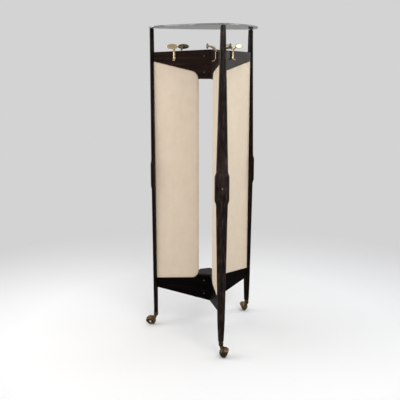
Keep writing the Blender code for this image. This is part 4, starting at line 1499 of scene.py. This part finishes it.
@dataclass(frozen=True)
class Casters:
    """The casters: a sleeve on the post's foot, a domed hood on a swivel, and a wheel on a tilted pin."""

    tripod: Tripod
    hood_radius: float = 0.030
    hood_wall: float = 0.0018
    rim_set: float = 0.0010
    neck_start: float = 0.0272
    neck_hood_radius: float = 0.0124
    neck_stem_radius: float = 0.0085
    flange_radius: float = 0.011
    flange_height: float = 0.004
    stem_radius: float = 0.005
    stem_length: float = 0.018
    boss_radius: float = 0.006
    cell: float = 0.0006
    passes: int = 4
    wheel_radius: float = 0.028
    wheel_width: float = 0.009
    wheel_back: float = 0.0005
    wheel_rim: float = 0.0065
    wheel_dish: float = 0.0042
    wheel_hub: float = 0.0095
    wheel_round: float = 0.0022
    wheel_round_steps: int = 6
    hub_ease: float = 0.0006
    hub_flare: float = 0.0012
    web_fillet: float = 0.0022
    rim_flare: float = 0.0010
    rim_flare_rise: float = 0.0008
    rim_land: float = 0.0012
    bore: float = 0.0028
    pin_radius: float = 0.0025
    pin_head: float = 0.0062
    pin_head_height: float = 0.0032
    sleeve_wall: float = 0.003
    sleeve_bore: float = 0.0053
    sleeve_floor: float = 0.003
    sleeve_round: float = 0.0012
    seat_gap: float = 0.0003
    turned_sides: int = 72
    bar_sides: int = 48
    pin_sides: int = 40
    dome_steps: int = 20
    pin_head_steps: int = 8

    def build(self) -> None:
        """Makes each fin's sleeve, hood, wheel and pin."""
        for fin in Fin:
            name = fin.value
            spot = Matrix.Translation(self.tripod.swivel(fin))
            sleeve = placed(self.sleeve(fin), spot)
            deliver(sleeve, SLEEVE_AND_SHADED_HOOD_BRASS, Slot.BRASS, "frame", f"ferrule_{name}")
            axle = self.axle(fin)
            # The front hood's dark brass is painted shade.
            finish = SLEEVE_AND_SHADED_HOOD_BRASS if fin is Fin.FRONT else CASTER_BRASS
            deliver(self.hood(fin, axle), finish, Slot.BRASS, f"caster_{name}", f"caster_hood_{name}")
            wheel = placed(self.wheel(fin), axle)
            deliver(wheel, CASTER_BRASS, Slot.BRASS, f"wheel_{name}", f"caster_wheel_{name}")
            pin = placed(self.pin(fin), axle)
            # The pin's pale brass is a painted highlight.
            deliver(pin, PIN_HIGHLIGHT_BRASS, Slot.BRASS, f"caster_{name}", f"caster_axle_{name}")

    def axle(self, fin: Fin) -> Matrix:
        """Finds a wheel's frame, with Z out along its tilted axle.

        Args:
            fin: The fin that the wheel carries.

        Returns:
            The frame.
        """
        joint = self.tripod.joints[f"wheel_{fin.value}_spin"]
        turn = Vector(joint["axis"]).to_track_quat("Z", "Y").to_matrix().to_4x4()
        return Matrix.Translation(joint["pos_m"]) @ turn

    def sleeve(self, fin: Fin) -> Object:
        """Makes a foot sleeve, open at the top, with a floor that the stem passes through.

        Args:
            fin: The fin whose post it caps.

        Returns:
            The sleeve, on the Z axis.
        """
        corner, far_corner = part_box(f"ferrule_{fin.value}")
        low, high = corner.z, far_corner.z
        outer = max(far_corner.x - corner.x, far_corner.y - corner.y) / 2
        inner, soft = outer - self.sleeve_wall, self.sleeve_round
        profile = [(inner, high), *rounded((outer - soft, high - soft), soft, 90)]
        profile += [*rounded((outer - soft, low + soft), soft, 0), (self.sleeve_bore, low)]
        profile += [(self.sleeve_bore, low + self.sleeve_floor), (inner, low + self.sleeve_floor)]
        return lathe(f"ferrule_{fin.value}_sleeve", profile, closed=True)

    def hood(self, fin: Fin, axle: Matrix) -> Object:
        """Casts a hood: a dome over the wheel's back, its neck, its swivel flange and stem.

        Args:
            fin: The fin whose post it carries.
            axle: The wheel's frame.

        Returns:
            The hood, in its place.
        """
        dome = lathe("hood_dome", self.dome_profile(), self.turned_sides, closed=True)
        bm = reopened(placed(dome, axle))
        centre = axle.translation
        top = self.tripod.swivel(fin)
        top.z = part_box(f"ferrule_{fin.value}")[0].z - self.seat_gap
        bottom = top - Vector((0, 0, self.flange_height))
        start = centre + (bottom - centre).normalized() * self.neck_start
        stem_top = top + Vector((0, 0, self.stem_length))
        back = axle @ Vector((0, 0, self.hood_wall / 2 - self.hood_radius))
        front = axle @ Vector((0, 0, -self.rim_set))
        self.bar(bm, start, (top + bottom) / 2, self.neck_hood_radius, self.neck_stem_radius)
        self.bar(bm, bottom, top, self.flange_radius, self.flange_radius)
        self.bar(bm, bottom, stem_top, self.stem_radius, self.stem_radius)
        self.bar(bm, back, front, self.boss_radius, self.boss_radius)
        return fused(as_object(f"caster_hood_{fin.value}_casting", bm), self.cell, self.passes)

    def dome_profile(self) -> list[Point]:
        """Draws the dome's wall: the outside from the pole to the rim, then the inside back.

        Returns:
            Radius and height points.
        """
        angles = quarter_turn(self.dome_steps)
        skin, lining = (
            [(radius * math.sin(a), -radius * math.cos(a) - self.rim_set * math.sin(a)) for a in angles]
            for radius in (self.hood_radius, self.hood_radius - self.hood_wall)
        )
        return skin + list(reversed(lining))

    def bar(self, bm: BMesh, start: Vector, end: Vector, low: float, high: float) -> None:
        """Adds a round bar or cone to a bmesh.

        Args:
            bm: The bmesh.
            start: The middle of its first end.
            end: The middle of its other end.
            low: The radius of its first end.
            high: The radius of its other end.
        """
        run = end - start
        place = Matrix.Translation((start + end) / 2) @ run.to_track_quat("Z", "Y").to_matrix().to_4x4()
        size = {"radius1": low, "radius2": high, "depth": run.length}
        bmesh.ops.create_cone(bm, cap_ends=True, segments=self.bar_sides, matrix=place, **size)

    def wheel(self, fin: Fin) -> Object:
        """Turns a wheel: a rounded rim, a dished web and a raised hub.

        Args:
            fin: The fin that it carries.

        Returns:
            The wheel, on the Z axis.
        """
        back, front = self.wheel_back, self.wheel_back + self.wheel_width
        soft, edge = self.wheel_round, self.wheel_radius - self.wheel_round
        hub, inside = self.wheel_hub, self.wheel_radius - self.wheel_rim
        web, ease = front - self.wheel_dish, self.hub_ease
        steps = self.wheel_round_steps
        profile = [(self.bore, front), (hub - ease, front), (hub, front - ease)]
        profile += [(hub + self.hub_flare, web + ease), (hub + self.web_fillet, web)]
        profile += [(inside - self.web_fillet, web), (inside - self.rim_flare, web + self.rim_flare_rise)]
        profile += [(inside, front - self.rim_flare), (inside + self.rim_land, front)]
        profile += rounded((edge, front - soft), soft, 90, steps)
        profile += rounded((edge, back + soft), soft, 0, steps)
        profile += [(self.bore, back)]
        return lathe(f"caster_wheel_{fin.value}_turned", profile, self.turned_sides, closed=True)

    def pin(self, fin: Fin) -> Object:
        """Turns an axle pin with a domed head.

        Args:
            fin: The fin whose wheel it holds.

        Returns:
            The pin, on the Z axis.
        """
        seat = self.wheel_back + self.wheel_width + self.seat_gap
        head = [
            (self.pin_head * math.sin(a), seat + self.pin_head_height * math.cos(a))
            for a in quarter_turn(self.pin_head_steps)
        ]
        end = 2 * self.hood_wall - self.hood_radius
        profile = head + [(self.pin_radius, seat), (self.pin_radius, end), (0.0, end)]
        return lathe(f"caster_axle_{fin.value}_pin", profile, self.pin_sides)


# Fasteners


@dataclass(frozen=True)
class Fasteners:
    """The slotted screws and bolts, set out by one node group on the places of their nodes."""

    tripod: Tripod
    slot_width: float = 0.0012
    slot_depth: float = 0.0009
    head_share: float = 0.9
    shank_share: float = 0.1
    dome_share: float = 0.7
    dome_steps: int = 8
    turned_sides: int = 32
    seed: int = 7
    nodes: list[str] = field(default_factory=lambda: sorted(frame["nodes"]))

    def build(self) -> None:
        """Makes the hub screws, the panel screws and the hub bolts."""
        group = self.setting_out()
        for kind, name, finish, slot in (
            ("hub_screw", "hub_screws_slotted", SCREW_STEEL, Slot.STEEL),
            ("panel_screw", "panel_screws_slotted", TARNISHED_AND_SHADED_BRASS, Slot.BRASS),
            ("hub_bolt", "hub_bolts_slotted", SCREW_STEEL, Slot.STEEL),
        ):
            nodes = [node for node in self.nodes if node.startswith(kind)]
            screw = self.screw(nodes[0])
            values = {"Screw": screw, "Seed": self.seed, "Finish": finish.material()}
            screws = group.run(self.seats(nodes), values)
            screws.name = name
            bpy.data.objects.remove(screw)
            deliver(smoothed(screws), finish, slot, "frame", *nodes)

    def axis(self, node: str) -> Vector:
        """Finds the way that a fastener's head points.

        Args:
            node: The fastener's node.

        Returns:
            The direction.
        """
        if node.startswith("hub_bolt"):
            return Vector((0.0, 1.0, 0.0))
        fin = next(fin for fin in Fin if fin.value in node)
        turn = self.tripod.placement(fin).to_3x3()
        if node.startswith("panel_screw"):
            return turn @ Vector((1.0, 0.0, 0.0))
        return turn @ Vector((0.0, 1.0 if fin is Fin.LEFT else -1.0, 0.0))

    def seats(self, nodes: Sequence[str]) -> Object:
        """Marks the crowns of fasteners' heads.

        Args:
            nodes: The fasteners' nodes.

        Returns:
            An object of points with their axes.
        """
        mesh = bpy.data.meshes.new("seats")
        axes = [self.axis(node) for node in nodes]
        crowns = []
        for node, axis in zip(nodes, axes):
            vertices = frame["nodes"][node].data.vertices
            crowns.append(max((vertex.co for vertex in vertices), key=axis.dot))
        mesh.from_pydata(crowns, [], [])
        pointing = mesh.attributes.new("pointing", "FLOAT_VECTOR", "POINT")
        pointing.data.foreach_set("vector", [part for axis in axes for part in axis])
        return new_object("seats", mesh)

    def screw(self, node: str) -> Object:
        """Makes a slotted screw of a node's size.

        Args:
            node: The fastener's node.

        Returns:
            The screw, with its crown at the origin and its head up.
        """
        axis = self.axis(node)
        vertices = [vertex.co for vertex in frame["nodes"][node].data.vertices]
        crown = max(vertices, key=axis.dot)
        drops = [(crown - v).dot(axis) for v in vertices]
        radii = [((crown - v) - axis * drop).length for v, drop in zip(vertices, drops)]
        head, length = max(radii), max(drops)
        head_height = max(drop for drop, radius in zip(drops, radii) if radius > self.head_share * head)
        plain = head_height + self.shank_share * length
        shank = max(radius for drop, radius in zip(drops, radii) if drop > plain)
        dome = self.dome_share * head_height
        angles = quarter_turn(self.dome_steps)
        profile = [(head * math.sin(a), -dome + dome * math.cos(a)) for a in angles]
        profile += [(head, -head_height), (shank, -head_height), (shank, shank - length), (0.0, -length)]
        screw = lathe("screw", profile, self.turned_sides)
        bm = bmesh.new()
        size = Matrix.Diagonal((4 * head, self.slot_width, 2 * self.slot_depth, 1.0))
        bmesh.ops.create_cube(bm, size=1.0, matrix=size)
        return smoothed(cut(screw, from_bmesh("slot", bm)))

    @staticmethod
    def setting_out() -> NodeGroup:
        """Builds the node group that sets a screw on each point, along its axis, with its slot at any turn.

        Returns:
            The group.
        """
        group = NodeGroup("screw_setting", {"Screw": "Object", "Seed": "Int"})
        graph, given = group.graph, group.given
        named = graph.add("GeometryNodeInputNamedAttribute", {"Name": "pointing"}, data_type="FLOAT_VECTOR")
        aligned = graph.add("FunctionNodeAlignRotationToVector", {"Vector": named.outputs[0]}, axis="Z")
        angle = graph.add("FunctionNodeRandomValue", {"Seed": given["Seed"]}, data_type="FLOAT")
        angle.inputs[2].default_value, angle.inputs[3].default_value = 0.0, math.pi
        twist = {"Axis": (0.0, 0.0, 1.0), "Angle": angle.outputs[1]}
        turned = graph.add("FunctionNodeAxisAngleToRotation", twist).outputs[0]
        both = {"Rotation": aligned.outputs[0], "Rotate By": turned}
        rotation = graph.add("FunctionNodeRotateRotation", both, rotation_space="LOCAL").outputs[0]
        screw = graph.add("GeometryNodeObjectInfo", {"Object": given["Screw"], "As Instance": True})
        points = {
            "Points": given["Geometry"],
            "Instance": screw.outputs["Geometry"],
            "Rotation": rotation,
        }
        group.close(graph.add("GeometryNodeInstanceOnPoints", points).outputs[0])
        return group


# Studio


@dataclass(frozen=True)
class Softbox:
    """A large soft lamp that faces the stand."""

    name: str
    place: Triple
    width: float
    height: float
    power: float
    colour: Colour = (1.0, 0.985, 0.96)

    def build(self, aim: Vector) -> None:
        """Makes the lamp, turned to a point.

        Args:
            aim: The point that it faces.
        """
        lamp = bpy.data.lights.new(self.name, "AREA")
        lamp.shape = "RECTANGLE"
        lamp.size, lamp.size_y = self.width, self.height
        lamp.energy = self.power
        lamp.color = self.colour
        obj = new_object(self.name, lamp)
        obj.location = aim + Vector(self.place)
        obj.rotation_euler = (-Vector(self.place)).to_track_quat("-Z", "Y").to_euler()


@dataclass(frozen=True)
class Studio:
    """The camera at the photograph's angle, soft lamps and a plain pale floor that fades to grey."""

    tripod: Tripod
    frame_pixels: float = 400.0
    focal_pixels: float = 628.3
    sensor: float = 36.0
    distance: float = 3.490
    sideways: float = -0.0663
    height: float = 1.600
    heading: float = math.radians(17.92)
    pitch: float = math.radians(12.01)
    shift_up: float = -0.03
    aim_height: float = 0.90
    backdrop: Colour = (0.650, 0.650, 0.655)
    dark_side: Colour = (0.20, 0.20, 0.205)
    dark_heading: Triple = (-0.35, -0.94, 0.0)
    far_side: Colour = (0.295, 0.297, 0.288)
    floor: Colour = (0.885, 0.890, 0.900)
    floor_mirrored: Colour = (0.24, 0.24, 0.24)
    floor_radius: float = 30.0
    white_radius: float = 1.10
    grey_radius: float = 2.30
    floor_rough: float = 0.6
    floor_gloss: float = 0.2
    floor_sides: int = 96
    dark_fade: Point = (-0.15, 0.60)
    far_fade: Point = (-0.93, -0.75)
    ambient: float = 0.52
    lamps: tuple[Softbox, ...] = (
        Softbox("key_front", (0.2, -2.8, 2.0), 2.2, 1.6, 56.0),
        Softbox("right_side", (2.7, -0.45, 0.7), 1.0, 2.0, 16.0, (0.86, 0.96, 1.0)),
        Softbox("left_side", (-2.7, 0.6, 0.6), 2.2, 2.4, 42.0),
        Softbox("overhead", (0.0, 0.4, 2.6), 2.4, 2.4, 22.0),
    )

    def build(self) -> None:
        """Makes the camera, the lamps, the world and the floor."""
        bpy.context.scene.view_settings.view_transform = "Standard"
        self.camera()
        aim = self.tripod.axis + Vector((0, 0, self.aim_height))
        for lamp in self.lamps:
            lamp.build(aim)
        self.world()
        self.ground()

    def camera(self) -> None:
        """Makes the camera, level across and pitched down at the stand."""
        data = bpy.data.cameras.new("photo_camera")
        data.sensor_width = self.sensor
        data.lens = self.focal_pixels / self.frame_pixels * self.sensor
        data.shift_y = self.shift_up
        camera = new_object("photo_camera", data)
        ahead = Vector((math.sin(self.heading), math.cos(self.heading), 0.0))
        right = Vector((ahead.y, -ahead.x, 0.0))
        up = Vector((0.0, 0.0, self.height))
        camera.location = self.tripod.axis - ahead * self.distance + right * self.sideways + up
        look = ahead * math.cos(self.pitch) - Vector((0, 0, math.sin(self.pitch)))
        camera.rotation_euler = look.to_track_quat("-Z", "Y").to_euler()
        bpy.context.scene.camera = camera

    @staticmethod
    def rays(graph: Graph) -> tuple[Socket, Socket]:
        """Tells kinds of rays apart.

        Args:
            graph: The node tree.

        Returns:
            Sockets that are 1 for rays that see the background, and for mirrored rays.
        """
        rays = graph.add("ShaderNodeLightPath").outputs
        seen = graph.calculate("MAXIMUM", rays["Is Camera Ray"], rays["Is Transmission Ray"])
        return seen, rays["Is Glossy Ray"]

    def world(self) -> None:
        """Makes the even light, which shows as a pale grey backdrop."""
        world = bpy.data.worlds.new("studio_light")
        world.use_nodes = True
        bpy.context.scene.world = world
        graph = Graph(world.node_tree)
        background = world.node_tree.nodes["Background"]
        even = (self.ambient, self.ambient, self.ambient)
        seen, mirrored = self.rays(graph)
        way = {0: graph.add("ShaderNodeTexCoord").outputs["Generated"], 1: self.dark_heading}
        facing = graph.add("ShaderNodeVectorMath", way, operation="DOT_PRODUCT").outputs["Value"]
        mirror = graph.blend(graph.spread(facing, 0.0, 1.0, *self.dark_fade), self.backdrop, self.dark_side)
        mirror = graph.blend(graph.spread(facing, 1.0, 0.0, *self.far_fade), mirror, self.far_side)
        colour = graph.blend(seen, graph.blend(mirrored, even, mirror), self.backdrop)
        world.node_tree.links.new(colour, background.inputs["Color"])
        background.inputs["Strength"].default_value = 1.0

    def ground(self) -> None:
        """Makes the floor: pale under the stand, fading to the backdrop's grey further out."""
        bm = bmesh.new()
        bmesh.ops.create_circle(bm, cap_ends=True, segments=self.floor_sides, radius=self.floor_radius)
        floor = from_bmesh("studio_floor", bm)
        placed(floor, Matrix.Translation(self.tripod.axis))
        material = bpy.data.materials.new("pale_floor")
        material.use_nodes = True
        tree = material.node_tree
        graph = Graph(tree)
        shader = tree.nodes["Principled BSDF"]
        shader.inputs["Base Color"].default_value = (*self.floor, 1.0)
        shader.inputs["Roughness"].default_value = self.floor_rough
        shader.inputs["Specular IOR Level"].default_value = self.floor_gloss
        place = graph.add("ShaderNodeTexCoord").outputs["Object"]
        offset = {0: place, 1: self.tripod.axis}
        centred = graph.add("ShaderNodeVectorMath", offset, operation="SUBTRACT").outputs[0]
        away = graph.add("ShaderNodeVectorMath", {0: centred}, operation="LENGTH").outputs["Value"]
        fade = graph.spread(away, 0.0, 1.0, self.white_radius, self.grey_radius)
        far = graph.add("ShaderNodeEmission", {"Color": (*self.backdrop, 1.0)}).outputs[0]
        seen, mirrored = self.rays(graph)
        share = graph.calculate("MULTIPLY", fade, seen)
        mixed = graph.add("ShaderNodeMixShader", {0: share, 1: shader.outputs[0], 2: far}).outputs[0]
        dim = graph.add("ShaderNodeEmission", {"Color": (*self.floor_mirrored, 1.0)}).outputs[0]
        mixed = graph.add("ShaderNodeMixShader", {0: mirrored, 1: mixed, 2: dim}).outputs[0]
        tree.links.new(mixed, tree.nodes["Material Output"].inputs["Surface"])
        floor.data.materials.append(material)


def main() -> None:
    """Builds the stand's pieces in order, then the studio."""
    logging.basicConfig(level=logging.INFO, format="%(message)s")
    tripod = Tripod.packed()
    for part in (Posts, Woodwork, Panels, Hooks, GlassTop, Casters, Fasteners, Studio):
        part(tripod).build()


if __name__ == "__main__":
    main()
